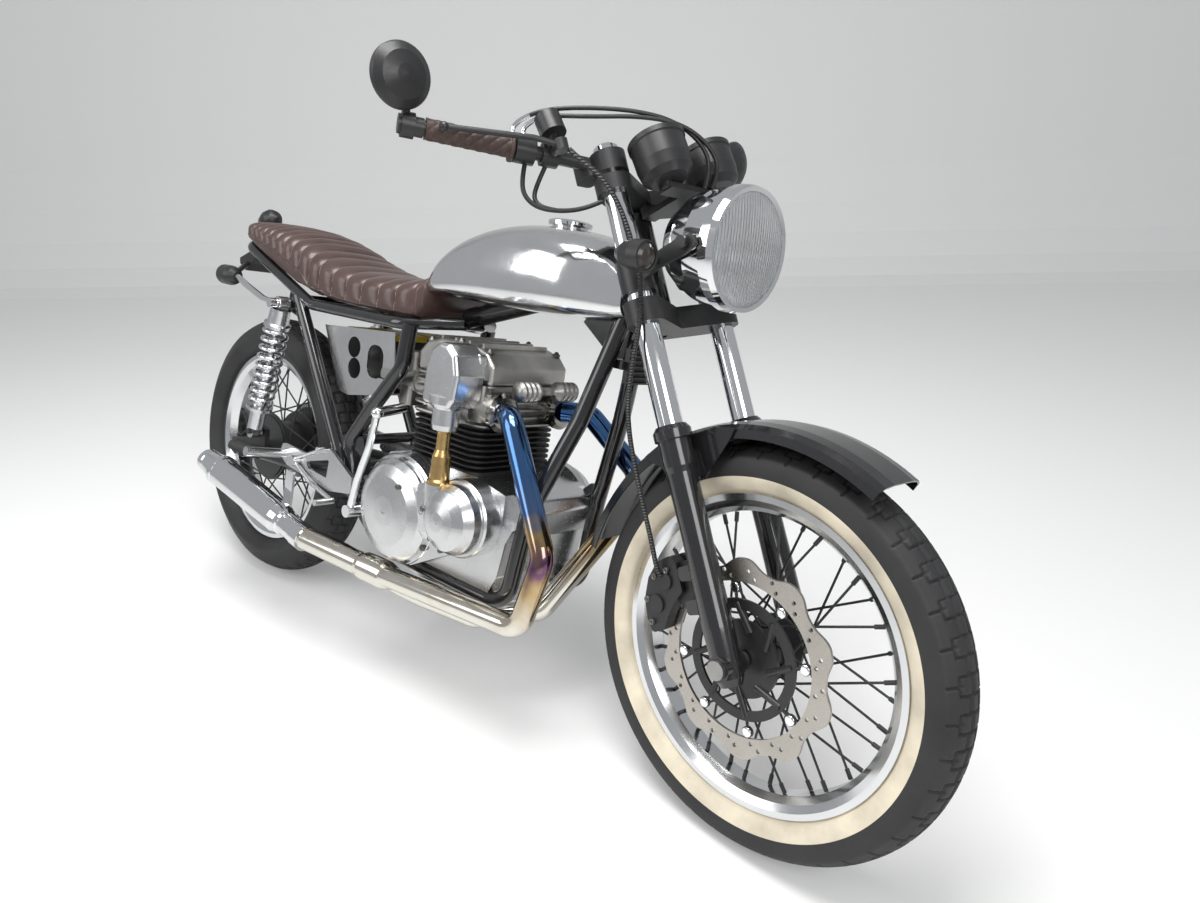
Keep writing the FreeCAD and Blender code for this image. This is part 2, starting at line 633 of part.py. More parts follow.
def brake_caliper():
    """Four-piston caliper that straddles the disc behind the right leg."""
    outline = [(-9, 165), (-18, 178), (-48, 172), (-74, 150), (-92, 118), (-97, 84), (-92, 60),
               (-66, 62), (-50, 84), (-28, 106), (-9, 118)]
    outer = slab(outline, -88.0, -65.5, 7)
    inner = slab(outline, -56.5, -38.0, 7)
    bridge = slab([(-44, 172), (-72, 149), (-91, 118), (-97, 84), (-92, 60), (-82, 62),
                   (-87, 84), (-82, 114), (-64, 143), (-38, 165)], -68.0, -54.0)
    # The disc turns under the bridge
    swept = Part.makeCylinder(DISC_R + DISC_CLEAR, 30, Vector(FORK_OFFSET, -76, 0), Vector(0, 1, 0))
    bridge = bridge.cut(swept)
    lugs = slab([(8, 165), (8, 118), (16, 80), (-8, 80), (-30, 105), (-20, 165)],
                -78.5, -66.0, 5)
    pistons = [Part.makeCylinder(15, 5, Vector(x, -92.0, z), Vector(0, 1, 0))
               for x, z in ((-40, 140), (-68, 106))]
    return join(outer, inner, bridge, lugs, *pistons)


HOSE = 8.0                  # outer diameter
HOSE_BEND = 24.0


def brake_hose():
    """Hydraulic hose from the bar, down beside the right tube to the caliper."""
    points = [(66.0, -184.0, 806.0), (90.0, -156.0, 760.0), (90.0, -128.0, 690.0),
              (86.0, -126.0, 570.0), (30.0, -134.0, 470.0), (-6.0, -128.0, 400.0),
              (-22.0, -118.0, 300.0), (-34.0, -104.0, 210.0), (-42.0, -99.0, 150.0)]
    print("brake hose radius %.0f mm at each of %d bends" % (HOSE_BEND, len(points) - 2))
    return bent_tube(points, HOSE_BEND, HOSE)


def steering_parts():
    return {
        "yokes": yokes(), "fork_tubes": fork_tubes(), "fork_legs": fork_legs(),
        "front_axle": front_axle(), "front_mudguard": mudguard(),
        "headlamp_shell": headlamp_shell(), "headlamp_lens": headlamp_lens(),
        "lamp_brackets": lamp_brackets(), "indicator_lenses": indicator_lenses(),
        "gauges": gauges(), "clip_ons": clip_ons(), "grips": grips(),
        "hand_controls": hand_controls(), "mirrors": mirrors(),
        "mirror_glasses": mirror_glasses(), "brake_caliper": brake_caliper(),
        "brake_hose": brake_hose(),
    }


# Chassis, drawn upright

SHELF_FRONT = WHEELBASE - 343.3     # front of the regulator's shelf


def steering_axis(t, ahead=0.0, y=0.0):
    """Point beside the steering axis, in the upright chassis, t up from the axle's height."""
    c = math.cos(math.radians(RAKE))
    s = math.sin(math.radians(RAKE))
    foot_x = WHEELBASE - FORK_OFFSET * c
    foot_z = FRONT_TYRE_R - FORK_OFFSET * s
    return (foot_x - t * s + ahead * c, y, foot_z + t * c + ahead * s)


def behind(distance):
    """Place along the chassis of something this far behind the front axle."""
    return WHEELBASE - distance


RAIL_Y = 112.0              # seat rails
CRADLE_Y = 104.0            # lower cradle tubes
CRADLE_Z = 250.0
PIVOT = (470.0, 372.0)
SHOCK_TOP = (195.0, 145.0, 718.0)
SHOCK_FOOT = (100.0, 140.0, 398.0)
STAND_X = 655.0
STAND_AXIS = (0.0, 0.803, 0.596)        # the stand's pin, out and up from the cradle tube
STAND_OUT = 30.0            # along the pin, from the tube's middle to the stand's eye
STAND_LUG = 30.0            # diameter of the lug that carries the pin


REARSET_BOSSES = ((503.0, 366.0), (428.0, 352.0))


def cradle_tube(s, diameter):
    """One side's downtube, lower cradle and rear tube as a single bent tube."""
    return bent_tube([
        steering_axis(625, -18, s * 20), (behind(399), s * 60, 620), (behind(457), s * 98, 440),
        (behind(480), s * CRADLE_Y, CRADLE_Z), (600, s * CRADLE_Y, CRADLE_Z),
        (478, s * CRADLE_Y, 330), (446, s * 107, 446), (520, s * 107, 542),
        (606, s * 107, 640), (618, s * 107, 729)], 52, diameter)


def seat_rail(diameter):
    """Seat rails, kicked up behind the shocks and closed by a loop at the tail."""
    right = [(700, -34, 745), (585, -RAIL_Y, 728), (264, -RAIL_Y, 727), (-58, -96, 836),
             (-98, 0, 850)]
    left = [(x, -y, z) for x, y, z in reversed(right[:-1])]
    return bent_tube(right + left, 46, diameter)


def stand_point(out):
    """Point on the side stand's pin, out from the middle of the left cradle tube."""
    return (STAND_X, CRADLE_Y + STAND_AXIS[1] * out, CRADLE_Z + STAND_AXIS[2] * out)


def pivot_bore():
    """Space of the swingarm's pin through the frame's side plates."""
    return Part.makeCylinder(11 + GAP, 300, Vector(PIVOT[0], -150, PIVOT[1]), Vector(0, 1, 0))


def main_frame():
    """Head tube, single backbone, gusset and the regulator's shelf."""
    top = steering_axis(HEAD_TOP)
    low = steering_axis(HEAD_LOW)
    head = rod(low, top, HEAD_TUBE)
    backbone = rod(steering_axis(655, -14), (674, 0, 756), 42)
    gusset = slab([steering_axis(600, -20)[::2], (behind(370), 730), (behind(400), 740),
                   (behind(470), 790), (behind(455), 812), steering_axis(660, -22)[::2]], -4, 4)
    shelf = slab([(behind(370), 722), (SHELF_FRONT, 722), (SHELF_FRONT, 738),
                  (behind(370), 738)], -30, 30)
    frame = join(head, backbone, gusset, shelf)
    axis = vec(top) - vec(low)
    bore = Part.makeCylinder(STEM / 2 + 1.0, 300, vec(low) - axis.normalize() * 60, axis)
    return frame.cut(bore)


def cradle(s):
    """One side's downtube and cradle, coped onto the head tube, with its brackets."""
    inner, outer = min(s * 98, s * 110), max(s * 98, s * 110)
    plate = slab([(400, 430), (430, 330), (500, 320), (522, 385), (500, 470), (430, 460)],
                 inner, outer, 10)
    front = slab([(behind(447), 470), (behind(463), 420), (955, 414), (950, 446),
                  (behind(475), 474)], min(s * 92, s * 100), max(s * 92, s * 100), 5)
    pieces = [cradle_tube(s, FRAME_TUBE), plate, front]
    for x, z in REARSET_BOSSES:
        pieces.append(rod((x, s * 100, z), (x, s * 124, z), 20))
    if s > 0:
        pieces += [rod(stand_point(0), stand_point(STAND_OUT - 6 - GAP), STAND_LUG),
                   rod(stand_point(0), stand_point(STAND_OUT + 11), 14),
                   rod(stand_point(STAND_OUT + 6 + GAP), stand_point(STAND_OUT + 11), 22)]
    else:
        for x, z in ((600, CRADLE_Z), (440, 449)):
            pieces.append(rod((x, -CRADLE_Y, z), (x, CRADLE_Y, z), 24))
    head = rod(steering_axis(HEAD_LOW), steering_axis(HEAD_TOP), HEAD_TUBE)
    side = join(pieces[0], *pieces[1:]).cut([pivot_bore(), head, main_frame()])
    return side.cut(cradle(1)) if s < 0 else side


def seat_frame():
    """Looped seat rail, its down tubes and the shocks' upper mounts, coped onto the cradles."""
    pieces = [seat_rail(RAIL_TUBE), rod((668, -44, 742), (668, 44, 742), 24),
              rod((232, -RAIL_Y, 733), (232, RAIL_Y, 733), 24)]
    for s in sides():
        shock_plate = slab([(172, 704), (232, 690), (250, 728), (182, 756)],
                           min(s * 106, s * 118), max(s * 106, s * 118), 5)
        pieces += [shock_plate, rod((192, s * 108, 718), (192, s * 158, 718), 16),
                   rod((428, s * 108, 395), (208, s * RAIL_Y, 738), 30)]
    frame = join(pieces[0], *pieces[1:])
    return frame.cut([main_frame(), cradle(1), cradle(-1)])


def swingarm():
    """Two arms, the pivot tube and the rear axle that they carry."""
    pieces = [rod((PIVOT[0], -84, PIVOT[1]), (PIVOT[0], 84, PIVOT[1]), 40),
              rod((PIVOT[0], -131, PIVOT[1]), (PIVOT[0], 131, PIVOT[1]), 22),
              rod((372, -82, 364), (372, 82, 364), 28)]
    for s in sides():
        pieces.append(rod((PIVOT[0], s * 123.4, PIVOT[1]), (PIVOT[0], s * 131, PIVOT[1]), 34))
        pieces.append(bent_tube([(PIVOT[0], s * 66, PIVOT[1]), (400, s * 68, 366),
                                 (300, s * 116, 356), (-20, s * 116, 334)],
                                80, SWINGARM_TUBE))
        plate = slab([(-42, 314), (60, 318), (120, 340), (118, 404), (84, 412), (60, 372),
                      (-42, 352)], min(s * 110, s * 122), max(s * 110, s * 122), 6)
        stud = rod((SHOCK_FOOT[0], s * 116, SHOCK_FOOT[2]),
                   (SHOCK_FOOT[0], s * 158, SHOCK_FOOT[2]), 14)
        nut = rod((0, s * 120, 332), (0, s * 134, 332), 30)
        bobbin = rod((-8, s * 118, 322), (-8, s * 120, 322), 10)
        spacer_end = 46.3 if s < 0 else SPROCKET_Y + 3 + GAP
        spacer = rod((0, s * spacer_end, 332), (0, s * 112, 332), 30)
        spool = rod((52, s * 120, 334), (52, s * 146, 334), 24)
        pieces += [plate, stud, nut, bobbin, spacer, spool]
    pieces.append(rod((0, -118, 332), (0, 118, 332), AXLE_R))
    arm = join(pieces[0], *pieces[1:])
    holes = [Part.makeCylinder(SPOOL_HOLE / 2, 22, Vector(52, s * 125, 334), Vector(0, s, 0))
             for s in sides()]
    return arm.cut(holes)


SPOOL_HOLE = 8.0            # threaded hole in each lifting bobbin


def shock_dampers():
    """Chrome damper bodies and rods with an eye at each end."""
    pieces = []
    for s in sides():
        foot = Vector(SHOCK_FOOT[0], s * SHOCK_FOOT[1], SHOCK_FOOT[2])
        top = Vector(SHOCK_TOP[0], s * SHOCK_TOP[1], SHOCK_TOP[2])
        length = (top - foot).Length
        profile = [(0, 12), (18, 12), (18, 60), (30, 62), (30, 70), (17, 72), (17, 180),
                   (7, 182), (7, length - 62), (30, length - 58), (30, length - 50),
                   (24, length - 46), (22, length - 12), (0, length - 12)]
        body = turned(profile, tuple(foot), tuple(top - foot))
        eye_low = Part.makeCylinder(16, 24, foot - Vector(0, 12, 0), Vector(0, 1, 0))
        eye_top = Part.makeCylinder(16, 24, top - Vector(0, 12, 0), Vector(0, 1, 0))
        hole_low = Part.makeCylinder(7 + GAP, 40, foot - Vector(0, 20, 0), Vector(0, 1, 0))
        hole_top = Part.makeCylinder(8 + GAP, 40, Vector(192, top.y - 20, 718), Vector(0, 1, 0))
        pieces.append(join(body, eye_low, eye_top).cut([hole_low, hole_top]))
    return Part.makeCompound(pieces)


SPRING_COILS = 9
SPRING_WIRE = 8.5


def shock_springs():
    """Coil springs between the dampers' collars."""
    pieces = []
    for s in sides():
        foot = Vector(SHOCK_FOOT[0], s * SHOCK_FOOT[1], SHOCK_FOOT[2])
        top = Vector(SHOCK_TOP[0], s * SHOCK_TOP[1], SHOCK_TOP[2])
        length = (top - foot).Length
        low = 70.6 + GAP + SPRING_WIRE / 2
        high = length - 58.6 - GAP - SPRING_WIRE / 2
        pitch = (high - low) / SPRING_COILS
        helix = Part.makeHelix(pitch, high - low, 26.0)
        ring = Part.Wire(Part.Circle(Vector(26, 0, 0), Vector(0, 1, 0.05),
                                     SPRING_WIRE / 2).toShape())
        coil = Part.Wire(helix.Edges).makePipeShell([ring], True, True)
        coil.Placement = Placement(foot + (top - foot).normalize() * low,
                                   Rotation(Vector(0, 0, 1), top - foot))
        pieces.append(coil)
    return Part.makeCompound(pieces)


# Engine: upright parallel twin with a bevel tower on its right

CASE_Y = 112.0
BORE_Y = 62.0               # the cylinders' half spacing
ENGINE_X = (645.0, 857.0)
BARREL_Z = (474.0, 566.0)
HEAD_Z = (566.3, 646.0)
COVER_TOP = 716.0


def crankcase():
    outline = [(560, 292), (566, 420), (600, 462), (646, 473.7), (868, 473.7), (930, 462),
               (985, 452), (994, 430), (962, 372), (950, 300), (930, 262), (880, 226),
               (700, 216), (600, 236)]
    case = slab(outline, -CASE_Y, CASE_Y, 10)
    # Side pocket for the gearbox sprocket and the chain
    pocket = Part.makeBox(146, 60, 190, Vector(540, 64, 280))
    case = case.cut(pocket)
    for s in sides():
        y = min(s * 91.7, s * 130)
        case = case.cut(Part.makeBox(120, 38.3, 120, Vector(948, y, 400)))
        under = Part.makeBox(460, 32.4, 60, Vector(540, s * CRADLE_Y - 16.2, CRADLE_Z - 60))
        case = case.cut([cradle_tube(s, FRAME_TUBE + 2 * GAP), under])
    rear = Part.makeBox(90, 400, 60, Vector(540, -200, 210))
    lug_space = rod(stand_point(-18), stand_point(STAND_OUT), STAND_LUG + 2 * GAP)
    sump = round_box(690, 880, -62, 62, 204, 230, 14, "Z")
    return join(case.cut([rear, lug_space]), sump)


CLUTCH = (692.0, 366.0, 114.0)
NOSE = (872.0, 398.0, 75.0)


def clutch_cover():
    """Right crankcase cover: clutch dome, bevel nose, tower foot and kick shaft boss."""
    inner = -CASE_Y - GAP
    plates = []
    for cx, cz, r in (CLUTCH, NOSE):
        plates.append(turned([(0, 0), (r, 0), (r, 36), (r - 3, 40), (0, 40)],
                             (cx, inner, cz), (0, -1, 0)))
    bridge = slab([(725, 468), (776, 446), (812, 438), (850, 442), (880, 440), (870, 330),
                   (740, 262)],
                  inner - 38, inner)
    dome = turned([(0, 30), (106, 30), (103, 50), (92, 62), (70, 70), (30, 74), (0, 75)],
                  (CLUTCH[0], inner, CLUTCH[1]), (0, -1, 0))
    nose = turned([(0, 30), (69, 30), (66, 58), (56, 76), (38, 88), (18, 93), (0, 94)],
                  (NOSE[0], inner, NOSE[1]), (0, -1, 0))
    waist = turned([(0, 30), (60, 30), (54, 52), (40, 60), (0, 63)],
                   (790, inner, 392), (0, -1, 0))
    foot = Part.makeCylinder(25, 60, Vector(TOWER_AT[0], TOWER_AT[1], 392))
    cover = join(plates[0], plates[1], bridge, dome, nose, waist, foot)
    cover = cover.cut(Part.makeBox(600, 60, 80, Vector(500, -170, 186)))
    header_clear = rod((600, -158, 224), (1000, -152, 236), HEADER_TUBE + 8)
    cradle = rod((500, -CRADLE_Y, CRADLE_Z), (1000, -CRADLE_Y, CRADLE_Z), FRAME_TUBE + 2 * GAP)
    seat = Part.makeCylinder(26, 60, Vector(TOWER_AT[0], TOWER_AT[1], 452))
    return cover.cut([header_clear, cradle, seat])


TOWER_AT = (812.0, -156.0)


def kick_lever():
    """Kick starter: a boss on its shaft, the curved lever and the folded pedal."""
    boss = rod((566, -CASE_Y - GAP, 330), (566, -186, 330), 26)
    arm = bent_tube([(566, -176, 330), (588, -180, 400), (632, -190, 480), (652, -192, 556)],
                    60, 15)
    knee = Part.makeSphere(12, Vector(652, -192, 556))
    pedal = rod((652, -192, 556), (628, -112, 560), 21)
    return join(boss, arm, knee, pedal)


def alternator_cover():
    """Left cover: alternator dome at the front, sprocket cover behind it."""
    inner = CASE_Y + GAP
    dome = turned([(0, 0), (92, 0), (92, 18), (88, 26), (80, 44), (60, 52), (0, 55)],
                  (NOSE[0] - 6, inner, NOSE[1] - 2), (0, 1, 0))
    plate = slab([(566, 420), (600, 462), (700, 466), (800, 440), (850, 466), (870, 330),
                  (790, 304), (562, 304)], inner, inner + 26, 12)
    return join(dome, plate)


def finned(x0, x1, half_y, z0, z1, fins, thick, core_inset, corner):
    """Finned block: thin rounded plates round a smaller core."""
    core = round_box(x0 + core_inset, x1 - core_inset, -half_y + core_inset,
                     half_y - core_inset, z0, z1, 22)
    pitch = (z1 - z0 - thick) / (fins - 1)
    plates = [round_box(x0, x1, -half_y, half_y, z0 + k * pitch, z0 + k * pitch + thick, corner)
              for k in range(fins)]
    return join(core, *plates)


def cylinder_block():
    return finned(ENGINE_X[0], ENGINE_X[1], 111, BARREL_Z[0], BARREL_Z[1], 9, 3.0, 22, 34)


CARB_Y = 60.0
EXHAUST_PORT = 62.0


def cylinder_head():
    """Finned head with two exhaust ports in front and two intake stubs behind."""
    head = finned(ENGINE_X[0] - 2, ENGINE_X[1] + 6, 111, HEAD_Z[0], HEAD_Z[1], 6, 3.4, 18, 30)
    pieces = [head]
    for s in sides():
        pieces.append(rod((835, s * 82, 601), (877, s * 82, 601), EXHAUST_PORT))
        pieces.append(rod((662, s * CARB_Y, 612), (618, s * CARB_Y, 612), 46))
    block = round_box(770, 856, -111, -90, HEAD_Z[0] + 10, HEAD_Z[1], 8)
    return join(pieces[0], *pieces[1:], block)


def rocker_cover():
    """Rounded cam cover with cooling ribs across its right end."""
    x0, x1 = ENGINE_X[0] + 4, ENGINE_X[1] + 10
    outline = [(x0, HEAD_Z[1] + GAP), (x0, 684), (x0 + 22, 706), (x0 + 60, COVER_TOP),
               (x1 - 60, COVER_TOP), (x1 - 22, 706), (x1, 684), (x1, HEAD_Z[1] + GAP)]
    body = slab(outline, -104, 104, 10)
    ends = [e for e in body.Edges if abs(e.CenterOfMass.y) > 103.5 and e.CenterOfMass.z > 660]
    body = body.makeFillet(9, ends)
    ribs = []
    for k in range(4):
        x = x0 + 44 + k * 40
        ribs.append(slab([(x, 706), (x, COVER_TOP + 5), (x + 6, COVER_TOP + 5), (x + 6, 706)],
                         -86, 86))
    return join(body, *ribs).cut(rod((800, -160, 664), (900, 60, 690), 1))


def bevel_housing():
    """Bevel gear housing at the head's right end, down to the tower."""
    outline = [(762, 600), (766, 668), (778, 704), (800, 719), (824, 718), (846, 700),
               (856, 664), (850, 616), (838, 598)]
    body = slab(outline, -180, -CASE_Y - GAP, 12)
    face = [e for e in body.Edges if abs(e.CenterOfMass.y + 180) < 0.5]
    body = body.makeFillet(9, face)
    collar = turned([(0, 556.3), (24, 556.3), (26, 566), (26, 596), (34, 606), (34, 620),
                     (0, 620)], (TOWER_AT[0], TOWER_AT[1], 0))
    arm = round_box(790, 834, -150, -119, 572, 612, 6)
    back = round_box(770, 850, -CASE_Y - GAP - 8, -104.3, HEAD_Z[1] + 6, 704, 8, "Y")
    port = rod((830, -82, 601), (880, -82, 601), EXHAUST_PORT + 2 * GAP)
    return join(body, collar, arm, back).cut(port)


def bevel_tower():
    """Turned tube round the bevel drive's shaft."""
    return turned([(0, 452.3), (24, 452.3), (24, 458), (19, 462), (18, 506), (13, 518),
                   (12.5, 550), (14.5, 552), (14.5, 556), (0, 556)],
                  (TOWER_AT[0], TOWER_AT[1], 0))


def carburettors():
    """Two carburettors with float bowls, domes and cone filters behind them."""
    pieces = []
    for s in sides():
        y = s * CARB_Y
        body = rod((617.7, y, 612), (556, y, 612), 50)
        bowl = round_box(566, 606, y - 22, y + 22, 560, 606, 9)
        slide = Part.makeCylinder(20, 62, Vector(586, y, 610))
        dome = Part.makeCylinder(25, 10, Vector(586, y, 660))
        filt = turned([(0, 0), (24, 0), (29, 5), (29, 10), (26, 52), (23, 56), (0, 56)],
                      (558, y, 612), (-1, 0, 0))
        pieces += [body, bowl, slide, dome, filt]
    link = rod((592, -CARB_Y, 640), (592, CARB_Y, 640), 10)
    return join(pieces[0], *pieces[1:], link)


RIGHT_HEADER = [(888, -82, 601), (940, -114, 603), (1086, -141, 386), (1056, -148, 246),
                (720, -158, 226), (664, -160, 222)]
LEFT_HEADER = [(888, 82, 601), (936, 112, 604), (1066, 130, 508), (1062, 74, 410),
               (985, -12, 228), (888, -92, 194), (745, -108, 190), (672, -136, 206)]


def collector(grow):
    """Joint of the two headers and the pipe on to the silencer."""
    g = grow
    return turned([(0, -g), (24 + g, -g), (30 + g, 24), (30 + g, 84), (26 + g, 96),
                   (26 + g, 292 + g), (0, 292 + g)], (700, -150, 220), (-290, -34, 9))


def exhaust_headers():
    """Two header pipes that join on the right into one collector."""
    port_space = [rod((860, s * 82, 601), (877 + GAP, s * 82, 601), EXHAUST_PORT + 2) for s in sides()]
    right = bent_tube(RIGHT_HEADER, 40, HEADER_TUBE).cut(port_space)
    left = bent_tube(LEFT_HEADER, 36, HEADER_TUBE).cut(port_space)
    clamps = [turned([(0, 0), (38, 0), (38, 9), (30, 14), (0, 14)], (877.3, s * 82, 601),
                     (1, 0, 0)) for s in sides()]
    return join(right, left, collector(0.0), *clamps)


SILENCER_AT = (414.0, -183.8, 228.9)
SILENCER_DIR = (-434.0, -10.0, 74.0)


def silencer():
    """Slim reverse-cone silencer, its outlet bored."""
    profile = [(0, -14), (29, -14), (29, 16), (27, 18), (27, 66), (31, 70), (31, 78), (36, 96),
               (37, 352), (39, 354),
               (39, 366), (36, 368), (28, 414), (29, 418), (29, 432), (22, 432), (22, 380),
               (0, 380)]
    body = turned(profile, SILENCER_AT, SILENCER_DIR)
    strap = slab([(296, 276), (326, 272), (332, 352), (302, 352)], -168, -162, 4)
    return join(body, strap).cut(collector(GAP))


# Tank, seat and tail

TANK = ((646, 96, 796, 838), (668, 106, 794, 872), (712, 115, 794, 908), (778, 121, 794, 936),
        (850, 124, 794, 950), (930, 124, 795, 953), (1000, 117, 798, 947),
        (1052, 98, 802, 934), (1090, 74, 806, 918), (1110, 63, 810, 902))


def fuel_tank():
    """Slim alloy tank with a tunnel for the backbone and a notch for the head tube."""
    body = Part.makeLoft([section(x, w, z0, z1) for x, w, z0, z1 in TANK], True, False)
    front = vec(steering_axis(655, -14))
    rear = Vector(640, 0, 752)
    tunnel = rod(tuple(front + (front - rear) * 0.2), tuple(rear), 42 + 14)
    under = slab([(600, 700), (600, 752), (1130, 868), (1130, 700)], -28, 28)
    notch = rod(steering_axis(520), steering_axis(900), HEAD_TUBE + 16)
    neck = Part.makeCylinder(33, 14, Vector(CAP_AT[0], 0, CAP_AT[1] - 12))
    tubes = [cradle_tube(s, FRAME_TUBE + 12) for s in sides()]
    return join(body, neck).cut([tunnel, under, notch] + tubes)


CAP_AT = (918.0, 954.0)


def filler_cap():
    x, z = CAP_AT
    return turned([(0, 2 + GAP), (40, 2 + GAP), (41, 5), (41, 10), (36, 13), (20, 15), (0, 15)],
                  (x, 0, z))


SEAT = ((-100, 70, 850, 880), (-86, 88, 846, 894), (-56, 104, 838, 901), (0, 114, 822, 902),
        (70, 119, 800, 898), (140, 121, 778, 888), (200, 122, 764, 875), (270, 123, 752, 852),
        (350, 123, 743, 832), (430, 123, 741, 821), (510, 121, 741, 819),
        (590, 117, 741, 824), (628, 111, 744, 836), (641, 100, 764, 840))


def seat():
    """Kicked-up cafe seat as one padded body with a flat base."""
    body = Part.makeLoft([section(x, w, z0, z1, 0.30, 0.8) for x, w, z0, z1 in SEAT],
                         True, False)
    top = 727 + RAIL_TUBE / 2 + GAP
    below = slab([(-200, 700), (-200, top + 160), (-58, top + 109), (264, top), (700, top),
                  (700, 700)], -160, 160)
    tank_end = Part.makeBox(200, 400, 200, Vector(646 - GAP - 0.5, -200, 700))
    return body.cut([below, tank_end, seat_rail(RAIL_TUBE + 2 * GAP)])


def battery_tray():
    """Folded alloy box under the seat, its side plate pierced."""
    outline = [(285, 686), (545, 704), (556, 572), (395, 543), (352, 548)]
    pieces = []
    for s in sides():
        plate = slab(outline, min(s * 84, s * 87), max(s * 84, s * 87), 0)
        holes = [Part.makeCylinder(23, 40, Vector(x, s * 86 - 20, z), Vector(0, 1, 0))
                 for x, z in ((404, 652), (410, 606))]
        oval = round_box(456, 512, s * 86 - 20, s * 86 + 20, 596, 668, 24, "Y")
        pieces.append(plate.cut(holes + [oval]))
    floor = slab([(352, 548), (395, 543), (556, 572), (556, 575), (395, 546.2), (353, 551)],
                 -86, 86)
    filters = [rod((498, s * CARB_Y, 612), (562, s * CARB_Y, 612), 59) for s in sides()]
    return join(pieces[0], pieces[1], floor).cut(filters)


BATTERY_Z = 560.3


def battery():
    return round_box(330, 470, -60, 60, BATTERY_Z, 690, 3)


def regulator():
    """Finned box between the downtubes under the head."""
    back = SHELF_FRONT + GAP
    body = Part.makeBox(10, 60, 60, Vector(back, -30, 700))
    fins = [Part.makeBox(14, 60, 3, Vector(back + 8, -30, 700 + 9.5 * k)) for k in range(7)]
    ears = Part.makeBox(5, 84, 14, Vector(back, -42, 723))
    return join(body, ears, *fins)


def drive_chain():
    """Chain as one closed loop round both sprockets."""
    gx, gz = GEARBOX_AT
    p = Vector(0, 0, 0)
    loop = capsule_plate([(0, 0), (gx, gz - 332)], [SPROCKET_R + 6, GEARBOX_R + 6], -6, 6)
    hole = capsule_plate([(0, 0), (gx, gz - 332)], [SPROCKET_R - 3 + GAP, GEARBOX_R - 3 + GAP],
                         -8, 8)
    chain = loop.cut(hole)
    chain.rotate(p, Vector(1, 0, 0), 90)
    chain.translate(Vector(0, SPROCKET_Y, 332))
    return chain


def gearbox_sprocket():
    gx, gz = GEARBOX_AT
    plate = sprocket_disc(GEARBOX_R, 16, (gx, SPROCKET_Y, gz))
    shaft = Part.makeCylinder(12, 36, Vector(gx, 64 + GAP, gz), Vector(0, 1, 0))
    return join(plate, shaft)


def rearsets():
    """Set-back footrests: hanger plate, folding peg, pedal and link on each side."""
    pieces = []
    for s in sides():
        y = s * 136
        plate = slab([(518, 386), (518, 350), (440, 336), (262, 352), (226, 372), (240, 400),
                      (330, 396), (430, 430)], min(y, y + s * 8), max(y, y + s * 8), 6)
        gap = slab([(430, 404), (424, 362), (350, 366), (340, 380)], y - 20, y + 20, 4)
        plate = plate.cut(gap)
        feet = [rod((x, s * (124 + GAP), z), (x, s * 138, z), 16) for x, z in REARSET_BOSSES]
        peg = rod((246, s * 140, 376), (246, s * 238, 386), 22)
        lever = bent_tube([(300, s * 150, 372), (380, s * 153, 340), (470, s * 153, 322)],
                          40, 10)
        hub = rod((300, s * 136, 372), (300, s * 158, 372), 26)
        toe = rod((466, s * 150, 322), (466, s * 196, 322), 14)
        link = rod((310, s * 151, 380), (400, s * 151, 420), 7)
        end = rod((400, s * 140, 420), (400, s * 156, 420), 14)
        pieces.append(join(plate, peg, lever, hub, toe, link, end, *feet))
    return Part.makeCompound(pieces)


def passenger_pegs():
    """Folded rubber pegs on lugs at the rear arms."""
    pieces = []
    for s in sides():
        lug = rod((140, s * 133.3, 349), (140, s * 152, 349), 18)
        peg = rod((140, s * 146, 349), (56, s * 172, 356), 24)
        pieces.append(join(lug, peg))
    return Part.makeCompound(pieces)


def tail_bracket():
    """Black bracket behind the loop with bullet indicators on stalks."""
    plate = slab([(-76, 829), (-94, 836.9), (-186, 800), (-182, 786), (-150, 770),
                  (-128, 790)], -55, 55, 3)
    pieces = [plate]
    for s in sides():
        stalk = rod((-150, s * 50, 790), (-66, s * 128, 762), 13)
        bullet = turned([(0, -34), (20, -34), (24, -28), (24, 6), (20, 20), (11, 33), (0, 36)],
                        (-56, s * 142, 758), (1, 0, 0))
        pieces += [stalk, bullet]
    return join(pieces[0], *pieces[1:]).cut(seat_rail(RAIL_TUBE + 2 * GAP))


def grab_rails():
    """Chrome rails from the upper shock bolts back along the seat."""
    pieces = []
    for s in sides():
        pieces.append(bent_tube([(192, s * 166, 718), (150, s * 166, 722),
                                 (60, s * 158, 742), (-10, s * 146, 757)], 60, 15))
        cap = rod((192, s * 158.3, 718), (192, s * 176, 718), 22)
        pieces[-1] = join(pieces[-1], cap)
    return Part.makeCompound(pieces)


def tail_lamp():
    """Small egg-shaped lamp on a stalk behind the seat."""
    egg = turned([(0, -36), (12, -32), (22, -20), (27, 0), (26, 16), (18, 30), (0, 38)],
                 (-146, 0, 905), (0.94, 0, 0.34))
    stalk = bent_tube([(-107.1, 0, 849), (-134, 0, 854), (-150, 0, 890)], 14, 9)
    return join(egg, stalk)


def side_stand():
    """Side stand: eye round its pin and a curved leg, upright chassis."""
    eye = rod(stand_point(STAND_OUT - 6), stand_point(STAND_OUT + 6), 34)
    px, py, pz = stand_point(STAND_OUT)
    foot = floor_point(STAND_WORLD[0], STAND_WORLD[1], 2.0)
    leg = bent_tube([(px, py + 6, pz - 10), (px + 6, py + 40, pz - 40), tuple(foot)], 40, 19)
    hole = rod(stand_point(0), stand_point(STAND_OUT + 30), 14 + 2 * GAP)
    clear = rod(stand_point(STAND_OUT - 30), stand_point(STAND_OUT - 6), 60)
    collar = rod(stand_point(STAND_OUT + 6), stand_point(STAND_OUT + 30), 22 + 2 * GAP)
    return join(eye, leg).cut([hole, clear, collar])


STAND_WORLD = (700.0, 306.0)


